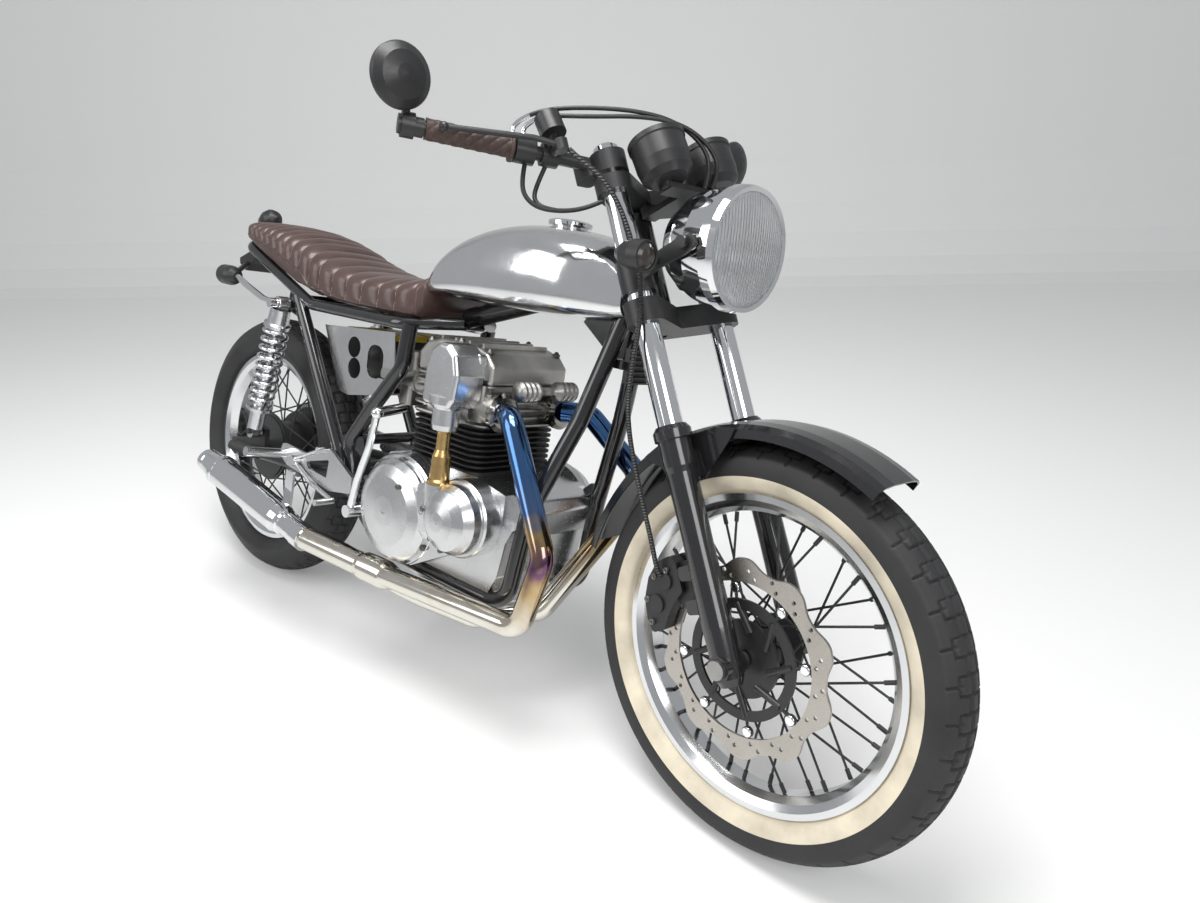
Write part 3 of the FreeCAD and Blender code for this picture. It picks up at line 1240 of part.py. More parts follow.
def floor_point(x, y, z):
    """Chassis point for a place measured from the floor, the machine leaning."""
    c = math.cos(math.radians(LEAN))
    s = math.sin(math.radians(LEAN))
    h = z - LIFT
    return Vector(x, y * c - h * s, y * s + h * c)


def chassis_parts():
    return {
        "main_frame": main_frame(), "cradle_right": cradle(-1), "cradle_left": cradle(1),
        "seat_frame": seat_frame(), "swingarm": swingarm(), "shock_dampers": shock_dampers(),
        "shock_springs": shock_springs(), "crankcase": crankcase(),
        "clutch_cover": clutch_cover(), "kick_lever": kick_lever(),
        "alternator_cover": alternator_cover(), "cylinder_block": cylinder_block(),
        "cylinder_head": cylinder_head(), "rocker_cover": rocker_cover(),
        "bevel_housing": bevel_housing(), "bevel_tower": bevel_tower(),
        "carburettors": carburettors(), "exhaust_headers": exhaust_headers(),
        "silencer": silencer(), "fuel_tank": fuel_tank(), "filler_cap": filler_cap(),
        "seat": seat(), "battery_tray": battery_tray(), "battery": battery(),
        "regulator": regulator(), "drive_chain": drive_chain(),
        "gearbox_sprocket": gearbox_sprocket(), "rearsets": rearsets(),
        "passenger_pegs": passenger_pegs(), "tail_bracket": tail_bracket(),
        "grab_rails": grab_rails(), "tail_lamp": tail_lamp(),
    }


# Placing: fork space to chassis, chassis to the leaning machine on the floor

def lean_over(shape):
    shape.rotate(Vector(0, 0, 0), Vector(1, 0, 0), -LEAN)
    shape.translate(Vector(-ORIGIN_X, -ORIGIN_Y, LIFT))
    return shape


def into_chassis(shape):
    """From fork space, with the steering turned, to the upright chassis."""
    shape.rotate(Vector(0, 0, 0), Vector(0, 0, 1), STEER)
    shape.rotate(Vector(0, 0, 0), Vector(0, 1, 0), -RAKE)
    foot = steering_axis(0)
    shape.translate(Vector(foot[0], 0, foot[2]))
    return shape


def stand_foot_pad(shape):
    """Flat foot, welded to the leg where it meets the floor."""
    pad = round_box(-34, 30, -17, 17, 0, 6, 10, "Z")
    pad.translate(Vector(STAND_WORLD[0] - ORIGIN_X, STAND_WORLD[1] - ORIGIN_Y + 6, 0))
    trimmed = shape.cut(Part.makeBox(4000, 4000, 100, Vector(-2000, -2000, -100)))
    return join(trimmed, pad)


def build():
    nodes = {}
    for name, shape in chassis_parts().items():
        nodes[name] = lean_over(shape)
    for name, shape in steering_parts().items():
        nodes[name] = lean_over(into_chassis(shape))
    for name, shape in front_wheel().items():
        shape.translate(Vector(FORK_OFFSET, 0, 0))
        nodes[name] = lean_over(into_chassis(shape))
    for name, shape in rear_wheel().items():
        shape.translate(Vector(0, 0, REAR_TYRE_R))
        nodes[name] = lean_over(shape)
    nodes["side_stand"] = stand_foot_pad(lean_over(side_stand()))
    return nodes


os.makedirs("parts", exist_ok=True)
box = FreeCAD.BoundBox()
for name, shape in build().items():
    box.add(shape.BoundBox)
    shape.exportStep("parts/" + name + ".step")
    print("%-18s solids %3d  valid %s  litres %8.3f" % (name, len(shape.Solids), shape.isValid(),
                                                       shape.Volume / 1e6))
print("box %.1f %.1f  %.1f %.1f  %.1f %.1f" % (box.XMin, box.XMax, box.YMin, box.YMax,
                                               box.ZMin, box.ZMax))
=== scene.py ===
import json
import math

import bpy
from mathutils import Matrix, Vector


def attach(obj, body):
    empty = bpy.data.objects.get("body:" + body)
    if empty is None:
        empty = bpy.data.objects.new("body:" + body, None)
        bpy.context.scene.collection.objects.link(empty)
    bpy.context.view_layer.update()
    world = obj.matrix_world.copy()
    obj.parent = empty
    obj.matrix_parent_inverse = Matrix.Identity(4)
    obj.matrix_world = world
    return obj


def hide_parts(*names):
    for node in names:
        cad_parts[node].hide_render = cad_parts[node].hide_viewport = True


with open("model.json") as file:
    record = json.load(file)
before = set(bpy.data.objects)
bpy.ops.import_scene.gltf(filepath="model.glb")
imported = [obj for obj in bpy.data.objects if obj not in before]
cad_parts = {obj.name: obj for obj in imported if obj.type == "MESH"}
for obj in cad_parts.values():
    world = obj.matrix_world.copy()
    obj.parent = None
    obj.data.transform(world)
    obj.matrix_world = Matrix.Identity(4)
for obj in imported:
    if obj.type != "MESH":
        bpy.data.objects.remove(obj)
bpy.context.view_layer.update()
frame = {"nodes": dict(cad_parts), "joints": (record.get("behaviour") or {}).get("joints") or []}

# Frame, yokes and swinging arm
# A welded steel tube frame, cast fork legs and a mudguard, sprayed with gloss black enamel that pools
# a little and holds fine dust. Yokes, swinging arm, hubs and small fittings are satin black.
nodes = frame["nodes"]
COAT_ROUGHNESS = 0.06
FINE_DETAIL, BROAD_DETAIL = 5, 6
BROAD_GRAIN = 14
TINT_FROM, TINT_TO = 0.3, 0.7
GRAIN_DEPTH = 0.0006
SMOOTHEST = 0.02


def noise(tree, grain, detail=2.0):
    """Cloudy unevenness that belongs to the piece and stays on it."""
    cloud = tree.nodes.new("ShaderNodeTexNoise")
    cloud.inputs["Scale"].default_value = grain
    cloud.inputs["Detail"].default_value = detail
    tree.links.new(tree.nodes["Texture Coordinate"].outputs["Object"], cloud.inputs["Vector"])
    return cloud.outputs["Fac"]


def relief(tree, height, depth, strength=1.0):
    """Raises and sinks the surface by this height, with the depth in metres."""
    raised = tree.nodes.new("ShaderNodeBump")
    raised.inputs["Strength"].default_value = strength
    raised.inputs["Distance"].default_value = depth
    tree.links.new(height, raised.inputs["Height"])
    tree.links.new(raised.outputs["Normal"], tree.nodes["Principled BSDF"].inputs["Normal"])


def finish(name, colour, metallic, roughness, grain=180.0, bump=0.0, tint=0.0, uneven=0.08,
           coat=0.0, see_through=0.0):
    """A finish whose colour, gloss and surface vary with the metal, paint or rubber itself."""
    material = bpy.data.materials.new(name)
    material.use_nodes = True
    tree = material.node_tree
    shader = tree.nodes["Principled BSDF"]
    shader.inputs["Metallic"].default_value = metallic
    shader.inputs["Coat Weight"].default_value = coat
    shader.inputs["Coat Roughness"].default_value = COAT_ROUGHNESS
    shader.inputs["Transmission Weight"].default_value = see_through
    tree.nodes.new("ShaderNodeTexCoord")
    fine = noise(tree, grain, FINE_DETAIL)
    gloss = tree.nodes.new("ShaderNodeMapRange")
    gloss.inputs["To Min"].default_value = max(roughness - uneven, SMOOTHEST)
    gloss.inputs["To Max"].default_value = min(roughness + uneven, 1.0)
    tree.links.new(fine, gloss.inputs["Value"])
    tree.links.new(gloss.outputs["Result"], shader.inputs["Roughness"])
    if tint:
        ramp = tree.nodes.new("ShaderNodeValToRGB")
        ramp.color_ramp.elements[0].position = TINT_FROM
        ramp.color_ramp.elements[1].position = TINT_TO
        ramp.color_ramp.elements[0].color = [c * (1 - tint) for c in colour] + [1]
        ramp.color_ramp.elements[1].color = [min(c * (1 + tint), 1) for c in colour] + [1]
        tree.links.new(noise(tree, BROAD_GRAIN, BROAD_DETAIL), ramp.inputs["Fac"])
        tree.links.new(ramp.outputs["Color"], shader.inputs["Base Color"])
    else:
        shader.inputs["Base Color"].default_value = (*colour, 1)
    if bump:
        relief(tree, fine, GRAIN_DEPTH, bump)
    return material


def dress(material, *names):
    """Gives the named solids this finish."""
    for name in names:
        nodes[name].data.materials.clear()
        nodes[name].data.materials.append(material)


enamel = finish("black_enamel", (0.012, 0.012, 0.013), metallic=0.0, roughness=0.16, grain=90,
                bump=0.05, tint=0.15, uneven=0.07, coat=0.6)
dress(enamel, "main_frame", "cradle_right", "cradle_left", "seat_frame", "front_mudguard",
      "fork_legs")
satin_black = finish("satin_black", (0.018, 0.018, 0.019), metallic=0.0, roughness=0.38, grain=260,
                     bump=0.12, tint=0.2, uneven=0.1)
dress(satin_black, "swingarm", "yokes", "clip_ons", "hand_controls", "mirrors", "lamp_brackets",
      "tail_bracket", "regulator", "brake_caliper", "front_hub", "rear_hub", "side_stand",
      "gauges", "tail_lamp")

# Bright chromed parts
# Fork tubes, shock springs, lamp bowl, silencer, rails, filler cap and kick lever, all plated and
# polished. The shocks' damper bodies inside the springs are a duller silver.
chrome = finish("bright_chrome", (0.80, 0.81, 0.82), metallic=1.0, roughness=0.07, grain=40,
                uneven=0.04)
dress(chrome, "fork_tubes", "headlamp_shell", "silencer", "grab_rails", "shock_springs",
      "filler_cap", "kick_lever")
damper = finish("damper_silver", (0.62, 0.63, 0.64), metallic=1.0, roughness=0.24, grain=120,
                bump=0.05, tint=0.05)
dress(damper, "shock_dampers")

# Engine cases and covers
# Cast aluminium, linished and half polished. The head and carburettors are weathered, the finned
# barrels black, and the tower with the camshaft's drive has a bronze finish. Chain, sprocket and
# axle are plain steel.
cast = finish("cast_cover", (0.66, 0.665, 0.67), metallic=1.0, roughness=0.26, grain=150,
              bump=0.04, tint=0.05, uneven=0.04)
dress(cast, "clutch_cover", "alternator_cover", "crankcase", "bevel_housing", "rearsets")
weathered = finish("weathered_head", (0.44, 0.43, 0.41), metallic=1.0, roughness=0.40, grain=110,
                   bump=0.15, tint=0.20, uneven=0.10)
dress(weathered, "cylinder_head", "rocker_cover", "carburettors")
barrel_black = finish("barrel_black", (0.022, 0.022, 0.022), metallic=0.2, roughness=0.55,
                      grain=300, bump=0.4, tint=0.3, uneven=0.1)
dress(barrel_black, "cylinder_block")
tower = finish("tower_bronze", (0.60, 0.40, 0.17), metallic=1.0, roughness=0.28, grain=90,
               bump=0.1, tint=0.12)
dress(tower, "bevel_tower")
steel = finish("plain_steel", (0.36, 0.35, 0.34), metallic=1.0, roughness=0.36, grain=260,
               bump=0.25, tint=0.2)
dress(steel, "drive_chain", "gearbox_sprocket", "front_axle")

# Exhaust pipes
# Chromed steel headers, held in the ports by clamping nuts that stay plain. Heat has turned the
# pipes blue near the ports, then straw and purple further down, and left the low runs pale. The
# machine leans on its side stand, so heights along the chassis are not heights in the room.
joint = {j["name"]: j for j in frame["joints"]}
REAR_AXLE = Vector(joint["rear_wheel_spin"]["pos_m"])
REAR_AXLE_HEIGHT = 0.332
AXIS_X = Vector((1, 0, 0))
AXIS_Y = Vector(joint["rear_wheel_spin"]["axis"])
AXIS_Z = AXIS_X.cross(AXIS_Y)


def placed(x, y, z, at):
    """A frame with these three directions and this middle, as one matrix."""
    turn = Matrix((x, y, z)).transposed().to_4x4()
    return Matrix.Translation(at) @ turn


def place_on(tree):
    """The place on the piece, as its three measures in the room."""
    where = tree.nodes.new("ShaderNodeSeparateXYZ")
    tree.links.new(tree.nodes["Texture Coordinate"].outputs["Object"], where.inputs[0])
    return where.outputs


def feed(tree, socket, value):
    """Gives a socket what another step puts out, or else a plain value."""
    if isinstance(value, bpy.types.NodeSocket):
        tree.links.new(value, socket)
    else:
        socket.default_value = value


def worked(tree, operation, *values, kind="ShaderNodeMath"):
    """One step of arithmetic in a finish, and what comes out of it."""
    step = tree.nodes.new(kind)
    step.operation = operation
    for socket, value in zip(step.inputs, values):
        feed(tree, socket, value)
    return step.outputs["Value"]


SHARE, FIRST, SECOND, MIXED = 0, 6, 7, 2


def coloured(tree, share, first, second):
    """Colours the surface with the first colour, or the second where the share is 1."""
    mix = tree.nodes.new("ShaderNodeMix")
    mix.data_type = "RGBA"
    feed(tree, mix.inputs[SHARE], share)
    feed(tree, mix.inputs[FIRST], first)
    feed(tree, mix.inputs[SECOND], second)
    tree.links.new(mix.outputs[MIXED], tree.nodes["Principled BSDF"].inputs["Base Color"])


CHASSIS = placed(AXIS_X, AXIS_Y, AXIS_Z, REAR_AXLE - AXIS_Z * REAR_AXLE_HEIGHT)
HEAT_TOP, HEAT_LOW = 0.62, 0.27
HEAT_WANDER = 0.07
CLOUD_GRAIN = 32
LOW_PIPE = 0.50
NUTS_TO = 0.893
NUT_STEEL = (0.30, 0.29, 0.27, 1)
HEAT_COLOURS = ((0.0, (0.09, 0.17, 0.34)), (0.20, (0.07, 0.17, 0.38)), (0.40, (0.11, 0.18, 0.34)),
                (0.50, (0.44, 0.31, 0.15)), (0.62, (0.17, 0.08, 0.16)), (0.74, (0.50, 0.36, 0.18)),
                (1.0, (0.76, 0.73, 0.66)))
headers = finish("heat_chrome", (0.74, 0.70, 0.62), metallic=1.0, roughness=0.12, grain=60,
                 uneven=0.05)
heat = headers.node_tree
on_header = place_on(heat)
wander = worked(heat, "MULTIPLY_ADD", noise(heat, CLOUD_GRAIN), HEAT_WANDER, on_header["Z"])
level_down = heat.nodes.new("ShaderNodeMapRange")
level_down.inputs["From Min"].default_value = HEAT_TOP + HEAT_WANDER / 2
level_down.inputs["From Max"].default_value = HEAT_LOW + HEAT_WANDER / 2
heat.links.new(wander, level_down.inputs["Value"])
tints = heat.nodes.new("ShaderNodeValToRGB")
tints.color_ramp.elements[0].color = (*HEAT_COLOURS[0][1], 1)
tints.color_ramp.elements[1].color = (*HEAT_COLOURS[-1][1], 1)
for place_down, colour in HEAT_COLOURS[1:-1]:
    tints.color_ramp.elements.new(place_down).color = (*colour, 1)
heat.links.new(level_down.outputs["Result"], tints.inputs["Fac"])
forward = worked(heat, "GREATER_THAN", on_header["X"], NUTS_TO + CHASSIS.translation.x)
low_pipe = worked(heat, "LESS_THAN", on_header["Z"], LOW_PIPE)
on_pipe = worked(heat, "MAXIMUM", forward, low_pipe)
coloured(heat, on_pipe, NUT_STEEL, tints.outputs["Color"])
dress(headers, "exhaust_headers")

# Tank
# Hand-beaten bare aluminium, buffed to a mirror with soft swirls left in it. It sits over the frame
# behind the steering head.
bare_alloy = finish("buffed_tank", (0.78, 0.785, 0.79), metallic=1.0, roughness=0.13, grain=30,
                    bump=0.03, tint=0.03, uneven=0.05)
dress(bare_alloy, "fuel_tank")

# Battery box
# A bent sheet aluminium tray, lower than the seat, with the battery standing in it. The battery's
# moulded case is black and its upper part yellow.
tray_alloy = finish("tray_alloy", (0.70, 0.70, 0.70), metallic=1.0, roughness=0.22, grain=90,
                    bump=0.05, tint=0.05)
dress(tray_alloy, "battery_tray")
LID_FROM = 0.677
CASE_BLACK = (0.012, 0.012, 0.013, 1)
LID_YELLOW = (0.78, 0.56, 0.02, 1)
battery_case = finish("battery_case", (0.70, 0.50, 0.02), metallic=0.0, roughness=0.35, grain=200,
                      bump=0.1)
case = battery_case.node_tree
upright = worked(case, "DOT_PRODUCT", case.nodes["Texture Coordinate"].outputs["Object"], AXIS_Z,
                 kind="ShaderNodeVectorMath")
on_lid = worked(case, "GREATER_THAN", upright, LID_FROM + CHASSIS.translation.dot(AXIS_Z))
coloured(case, on_lid, CASE_BLACK, LID_YELLOW)
dress(battery_case, "battery")

# Rims and disc
# Polished aluminium rims, laced to their hubs by spokes, and a brushed stainless brake disc on the
# front hub.
rim_alloy = finish("rim_alloy", (0.74, 0.75, 0.76), metallic=1.0, roughness=0.16, grain=80,
                   bump=0.02, tint=0.04, uneven=0.05)
dress(rim_alloy, "front_rim", "rear_rim")
disc_steel = finish("disc_steel", (0.47, 0.44, 0.40), metallic=1.0, roughness=0.30, grain=420,
                    bump=0.12, tint=0.08, uneven=0.1)
dress(disc_steel, "front_disc")

# Peg rubbers
# Moulded black rubbers, pushed over the passenger's pegs. Their surface is dull and finely grained.
peg_rubber = finish("peg_rubber", (0.02, 0.02, 0.02), metallic=0.0, roughness=0.62, grain=400,
                    bump=0.4, tint=0.2)
dress(peg_rubber, "passenger_pegs")

# Hose, cables and wires
# The front brake hose in its coiled guard, two throttle cables that leave chromed elbows and arch
# over the gauges, and the switch wires under the right bar. Each lies in one smooth curve and turns
# with the fork, whose own directions come from the steering axis and the front axle.
MM = 0.001
FORK_OFFSET = 0.054
FRONT_AXLE = Vector(joint["front_wheel_spin"]["pos_m"])
FORK_Y = Vector(joint["front_wheel_spin"]["axis"])
FORK_Z = Vector(joint["steering_turn"]["axis"])
FORK_X = FORK_Y.cross(FORK_Z)
FORK = placed(FORK_X, FORK_Y, FORK_Z, FRONT_AXLE - FORK_X * FORK_OFFSET)
HOSE, CABLE, WIRE = 8.0, 7.0, 7.5
ELBOW = CABLE + 1
HOSE_ROUTE = ((61, -189, 818.5), (66, -184, 806), (90, -156, 760), (90, -128, 690),
              (86, -126, 570), (30, -134, 470), (-6, -128, 400), (-22, -118, 300),
              (-34, -104, 210), (-42, -99, 158), (-42, -92, 149))
UPPER_ELBOW = ((-8, -223, 860), (-21, -226, 879), (-8, -220, 896), (12, -207, 898))
UPPER_CABLE = ((12, -207, 898), (32, -194, 900), (80, -146, 887), (124, -88, 870), (156, -36, 846),
               (171, 2, 806), (168, 12, 766), (148, 12, 743))
LOWER_ELBOW = ((4, -214, 858), (-6, -217, 873), (5, -212, 886), (20.5, -204, 886.5))
LOWER_CABLE = ((20.5, -204, 886.5), (36, -196, 887), (78, -148, 872), (128, -80, 860),
               (164, -28, 838), (179, 12, 798), (174, 25, 760), (152, 26, 743))
SWITCH_WIRE = ((-12, -216, 830), (-21, -224, 802), (-22, -225, 775), (-12, -212, 753),
               (6, -178, 743), (26, -142, 744), (44, -118, 752))
WIRE_LOOP = ((6, -184, 828), (-18, -190, 806), (-23, -207, 774), (-9, -204, 752), (2, -187, 746))
GUARD_PITCH, GUARD_DEPTH = 0.0045, 0.0009
cord_rubber = finish("cord_rubber", (0.014, 0.014, 0.014), metallic=0.0, roughness=0.42, grain=300,
                     bump=0.2, tint=0.2)
guard = finish("hose_guard", (0.02, 0.02, 0.02), metallic=0.0, roughness=0.45, grain=300, tint=0.2)
coils = guard.node_tree
coil_turns = worked(coils, "MULTIPLY", place_on(coils)["Z"], 2 * math.pi / GUARD_PITCH)
relief(coils, worked(coils, "SINE", coil_turns), GUARD_DEPTH)


def line_of(name, route, thick, material):
    """One flexible line along its route, in millimetres of the fork, carried by the steering."""
    curve = bpy.data.curves.new(name, "CURVE")
    curve.dimensions = "3D"
    curve.bevel_depth = thick / 2 * MM
    curve.bevel_resolution = 5
    curve.resolution_u = 20
    curve.use_fill_caps = True
    run = curve.splines.new("NURBS")
    run.points.add(len(route) - 1)
    for spot, point in zip(route, run.points):
        point.co = (*(FORK @ (Vector(spot) * MM)), 1)
    run.order_u = 3
    run.use_endpoint_u = True
    curve.materials.append(material)
    made = bpy.data.objects.new(name, curve)
    bpy.context.scene.collection.objects.link(made)
    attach(made, "steering")
    return made


hose = line_of("front_brake_hose", HOSE_ROUTE, HOSE, guard)
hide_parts("brake_hose")
for name, route in (("cable_elbow_upper", UPPER_ELBOW), ("cable_elbow_lower", LOWER_ELBOW)):
    line_of(name, route, ELBOW, chrome)
for name, route, thick in (("throttle_cable_upper", UPPER_CABLE, CABLE),
                           ("throttle_cable_lower", LOWER_CABLE, CABLE),
                           ("switch_wire", SWITCH_WIRE, WIRE), ("switch_wire_loop", WIRE_LOOP, WIRE)):
    line_of(name, route, thick, cord_rubber)

# Hand grips
# Brown moulded rubber sleeves with a quilted diamond surface, pushed over the ends of the bars. Each
# has a plain round flange at its inner end.
BAR_ROOT, BAR_END = Vector((43, 97, 812)), Vector((-62, 370, 884))
BAR_R, GRIP_R, FLANGE_R = 11.3, 16.5, 22.0
FLANGE_FROM, FLANGE_TO, SLEEVE_FROM = 0.515, 0.530, 0.531
GRIP_FROM, GRIP_TO = 0.53, 0.965
DIAMOND, DIAMOND_DEPTH, DIAMOND_SWELL = 9.4, 1.8, 0.4
GRIP_RINGS, GRIP_ROUND = 150, 84
grip_rubber = finish("grip_rubber", (0.060, 0.034, 0.027), metallic=0.0, roughness=0.55, grain=500,
                     bump=0.3, tint=0.2)


def piece(name, points, faces, material, body, at, smooth=True):
    """A new piece from points drawn in its own frame, put in place and carried by one body."""
    mesh = bpy.data.meshes.new(name)
    mesh.from_pydata([at @ Vector(p) for p in points], [], faces)
    mesh.update()
    if smooth:
        mesh.polygons.foreach_set("use_smooth", [True] * len(mesh.polygons))
    mesh.materials.append(material)
    made = bpy.data.objects.new(name, mesh)
    bpy.context.scene.collection.objects.link(made)
    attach(made, body)
    return made


def tube_faces(start, rings, around):
    """The faces between rings of points that follow one another from this first point."""
    faces = []
    for j in range(rings - 1):
        for k in range(around):
            a, b = start + j * around + k, start + j * around + (k + 1) % around
            faces.append((a, a + around, b + around, b))
    return faces


def quilt(angle, along):
    """Radius of the sleeve at this place round it and along it, in millimetres."""
    across = GRIP_R * angle / DIAMOND
    swell = abs(math.sin(math.pi * (across + along) / 2)
                * math.sin(math.pi * (across - along) / 2))
    return GRIP_R - DIAMOND_DEPTH * (1 - swell ** DIAMOND_SWELL)


grip_points, grip_faces = [], []
stations = [(FLANGE_FROM, BAR_R), (FLANGE_FROM, FLANGE_R), (FLANGE_TO, FLANGE_R),
            (SLEEVE_FROM, GRIP_R)]
stations += [(GRIP_FROM + (GRIP_TO - GRIP_FROM) * k / GRIP_RINGS, 0) for k in
             range(1, GRIP_RINGS)]
stations += [(GRIP_TO, GRIP_R), (GRIP_TO, BAR_R)]
for side in (-1, 1):
    root = Vector((BAR_ROOT.x, side * BAR_ROOT.y, BAR_ROOT.z))
    end = Vector((BAR_END.x, side * BAR_END.y, BAR_END.z))
    way = (end - root).normalized()
    flat = way.cross(Vector((0, 0, 1))).normalized()
    up = flat.cross(way)
    start = len(grip_points)
    for share, fixed in stations:
        centre = root + (end - root) * share
        for k in range(GRIP_ROUND):
            angle = 2 * math.pi * k / GRIP_ROUND
            radius = fixed or quilt(angle, (end - root).length * share / DIAMOND)
            grip_points.append((centre + (flat * math.cos(angle) + up * math.sin(angle)) * radius)
                               * MM)
    grip_faces += tube_faces(start, len(stations), GRIP_ROUND)
quilted = piece("grip_sleeves", grip_points, grip_faces, grip_rubber, "steering", FORK)
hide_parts("grips")

# Mirrors and lamp glass
# Flat silvered mirror glass, a clear pressed lamp glass with upright flutes, and smoked lenses on
# the indicators. Each is held in the rim of its own housing.
mirror_glass = finish("mirror_glass", (0.85, 0.87, 0.88), metallic=1.0, roughness=0.04, grain=20,
                      uneven=0.01)
dress(mirror_glass, "mirror_glasses")
FLUTE_PITCH, FLUTE_DEPTH = 0.0065, 0.0014
GLASS_BENDING = 1.46
clear = finish("lamp_glass", (0.93, 0.95, 0.96), metallic=0.0, roughness=0.06, grain=20,
               uneven=0.03, see_through=0.72)
flutes = clear.node_tree
flutes.nodes["Principled BSDF"].inputs["IOR"].default_value = GLASS_BENDING
sideways = worked(flutes, "DOT_PRODUCT", flutes.nodes["Texture Coordinate"].outputs["Object"],
                  FORK_Y * (2 * math.pi / FLUTE_PITCH), kind="ShaderNodeVectorMath")
relief(flutes, worked(flutes, "SINE", sideways), FLUTE_DEPTH)
dress(clear, "headlamp_lens")
smoked_lens = finish("smoked_lens", (0.035, 0.03, 0.028), metallic=0.0, roughness=0.2, grain=60,
                     tint=0.1)
dress(smoked_lens, "indicator_lenses")

# Headlamp inside and gauge glasses
# A pressed and silvered reflector with a capped bulb in its middle, and two domed glasses over dark
# dials, each seated in the top of its gauge.
LAMP_AT = Vector((207, 0, 609))
LAMP_TILT = math.radians(27)
LAMP_WAY = Vector((math.cos(LAMP_TILT), 0, -math.sin(LAMP_TILT)))
BOWL_WIDE, BOWL_DEEP = 82.0, 100
BOWL_HEIGHTS = (-99, -96, -90, -82, -70, -55, -40, -25, -15)
BOWL_LIP = (87.0, -13.0)
BULB = [(0.1, -52), (8, -53), (11, -56), (11, -66), (8, -72), (8, -98)]
GAUGE_X, GAUGE_Y, GAUGE_Z = 132, 60, 786
GAUGE_WAY = Vector((-0.12, 0, 0.99))
GAUGES_AT = [((GAUGE_X, side * GAUGE_Y, GAUGE_Z), GAUGE_WAY) for side in (-1, 1)]
DIAL = [(0.1, 32.4), (39.5, 32.3)]
DOMED_GLASS = [(0.1, 40.2), (14, 39.8), (27, 38.4), (36, 36.0), (39.7, 33.0)]


def lathe(name, profile, places, material, body, at, around=48):
    """One mesh of turned pieces at each point along its direction, from (radius, height) in mm.

    The outline runs from the axis outwards, which turns the faces outwards."""
    points, faces = [], []
    for centre, way in places:
        turn = Vector(way).to_track_quat("Z", "Y").to_matrix()
        start = len(points)
        for radius, height in profile:
            for k in range(around):
                angle = 2 * math.pi * k / around
                spot = Vector((radius * math.cos(angle), radius * math.sin(angle), height))
                points.append((Vector(centre) + turn @ spot) * MM)
        faces += tube_faces(start, len(profile), around)
    return piece(name, points, faces, material, body, at)


silvered = finish("silvered", (0.90, 0.91, 0.92), metallic=1.0, roughness=0.06, grain=30,
                  uneven=0.03)
bowl = [(math.sqrt(BOWL_WIDE * (h + BOWL_DEEP)), h) for h in BOWL_HEIGHTS] + [BOWL_LIP]
lathe("lamp_reflector", bowl, [(LAMP_AT, LAMP_WAY)], silvered, "steering", FORK, around=96)
lathe("lamp_bulb", BULB, [(LAMP_AT, LAMP_WAY)], silvered, "steering", FORK)
dial_black = finish("dial_black", (0.01, 0.01, 0.011), metallic=0.0, roughness=0.5, grain=200,
                    tint=0.1)
lathe("gauge_dials", DIAL, GAUGES_AT, dial_black, "steering", FORK)
gauge_glass = finish("gauge_glass", (0.80, 0.83, 0.86), metallic=0.0, roughness=0.05, grain=30,
                     uneven=0.03, see_through=0.55)
lathe("gauge_glasses", DOMED_GLASS, GAUGES_AT, gauge_glass, "steering", FORK, around=64)

# Ribbed housings on the head
# Two turned aluminium housings side by side across the head's front, each with four ribs and joined
# by a plain sleeve.
HOUSING_X, HOUSING_Z = 912, 646
HOUSING_R, HOUSING_RIB_R, SLEEVE_R = 15, 19, 7
HOUSING_FROM, HOUSING_TO = 24, 76
RIB_FROM, RIB_STEP, RIB_THICK = 30, 13, 5
housing = [(0.1, HOUSING_TO), (HOUSING_R, HOUSING_TO)]
for k in (3, 2, 1, 0):
    rib = RIB_FROM + RIB_STEP * k
    housing += [(HOUSING_R, rib + RIB_THICK), (HOUSING_RIB_R, rib + RIB_THICK),
                (HOUSING_RIB_R, rib), (HOUSING_R, rib)]
housing += [(HOUSING_R, HOUSING_FROM), (SLEEVE_R, HOUSING_FROM), (SLEEVE_R, 0)]
housings_at = [((HOUSING_X, 0, HOUSING_Z), (0, side, 0)) for side in (-1, 1)]
lathe("front_housings", housing, housings_at, weathered, "chassis", CHASSIS)

# Screws, nuts and disc buttons
# Dulled steel socket screws and domed nuts, seated on the castings they hold, and the floating
# disc's bright buttons.
SCREW = [(0.1, 2.0), (2.7, 2.0), (2.9, 6.0), (4.8, 6.0), (5.3, 5.3), (5.3, -1.5)]
DOME_NUT = [(0.1, 9.0), (3.2, 8.2), (5.0, 5.5), (5.4, 4.0), (7.6, 3.8), (7.6, -1.0)]
BUTTON = [(0.1, 1.5), (3.0, 1.7), (7.4, 1.7), (8.0, 1.2), (8.0, -0.6)]
COVER_SCREWS = ((697, -150, 470), (632, -150, 451), (728, -150, 425), (806, -150, 403),
                (830, -150, 351), (784, -150, 313), (732, -150, 270), (608, -150, 305),
                (856, -150, 334), (602, -150, 410))
HEAD_NUTS = [(x, y, 700) for x in (672, 760, 842) for y in (-92, 92)]
CALIPER_BOLTS = ((-30, -88, 156), (-58, -88, 150), (-84, -88, 116), (-86, -88, 78))
BUTTON_RING, BUTTON_OUT, BUTTON_TURN = 113, -62, 34
BUTTONS = 8
FRONT_WHEEL = placed(FORK_X, FORK_Y, FORK_Z, FRONT_AXLE)
TO_LEFT, TO_RIGHT, DOWN = (0, 1, 0), (0, -1, 0), (0, 0, -1)


def seated(node, spots, aim, far=400.0):
    """Where a line from outside, running along aim, meets the casting: point and face, in mm."""
    found = []
    solid = nodes[node]
    into = solid.matrix_world.inverted() @ CHASSIS
    for spot in spots:
        begin = into @ ((Vector(spot) - Vector(aim) * far) * MM)
        hit, where_hit, _, _ = solid.ray_cast(begin, (into.to_3x3() @ Vector(aim)).normalized())
        if hit:
            found.append((into.inverted() @ where_hit * 1000, -Vector(aim)))
    return found


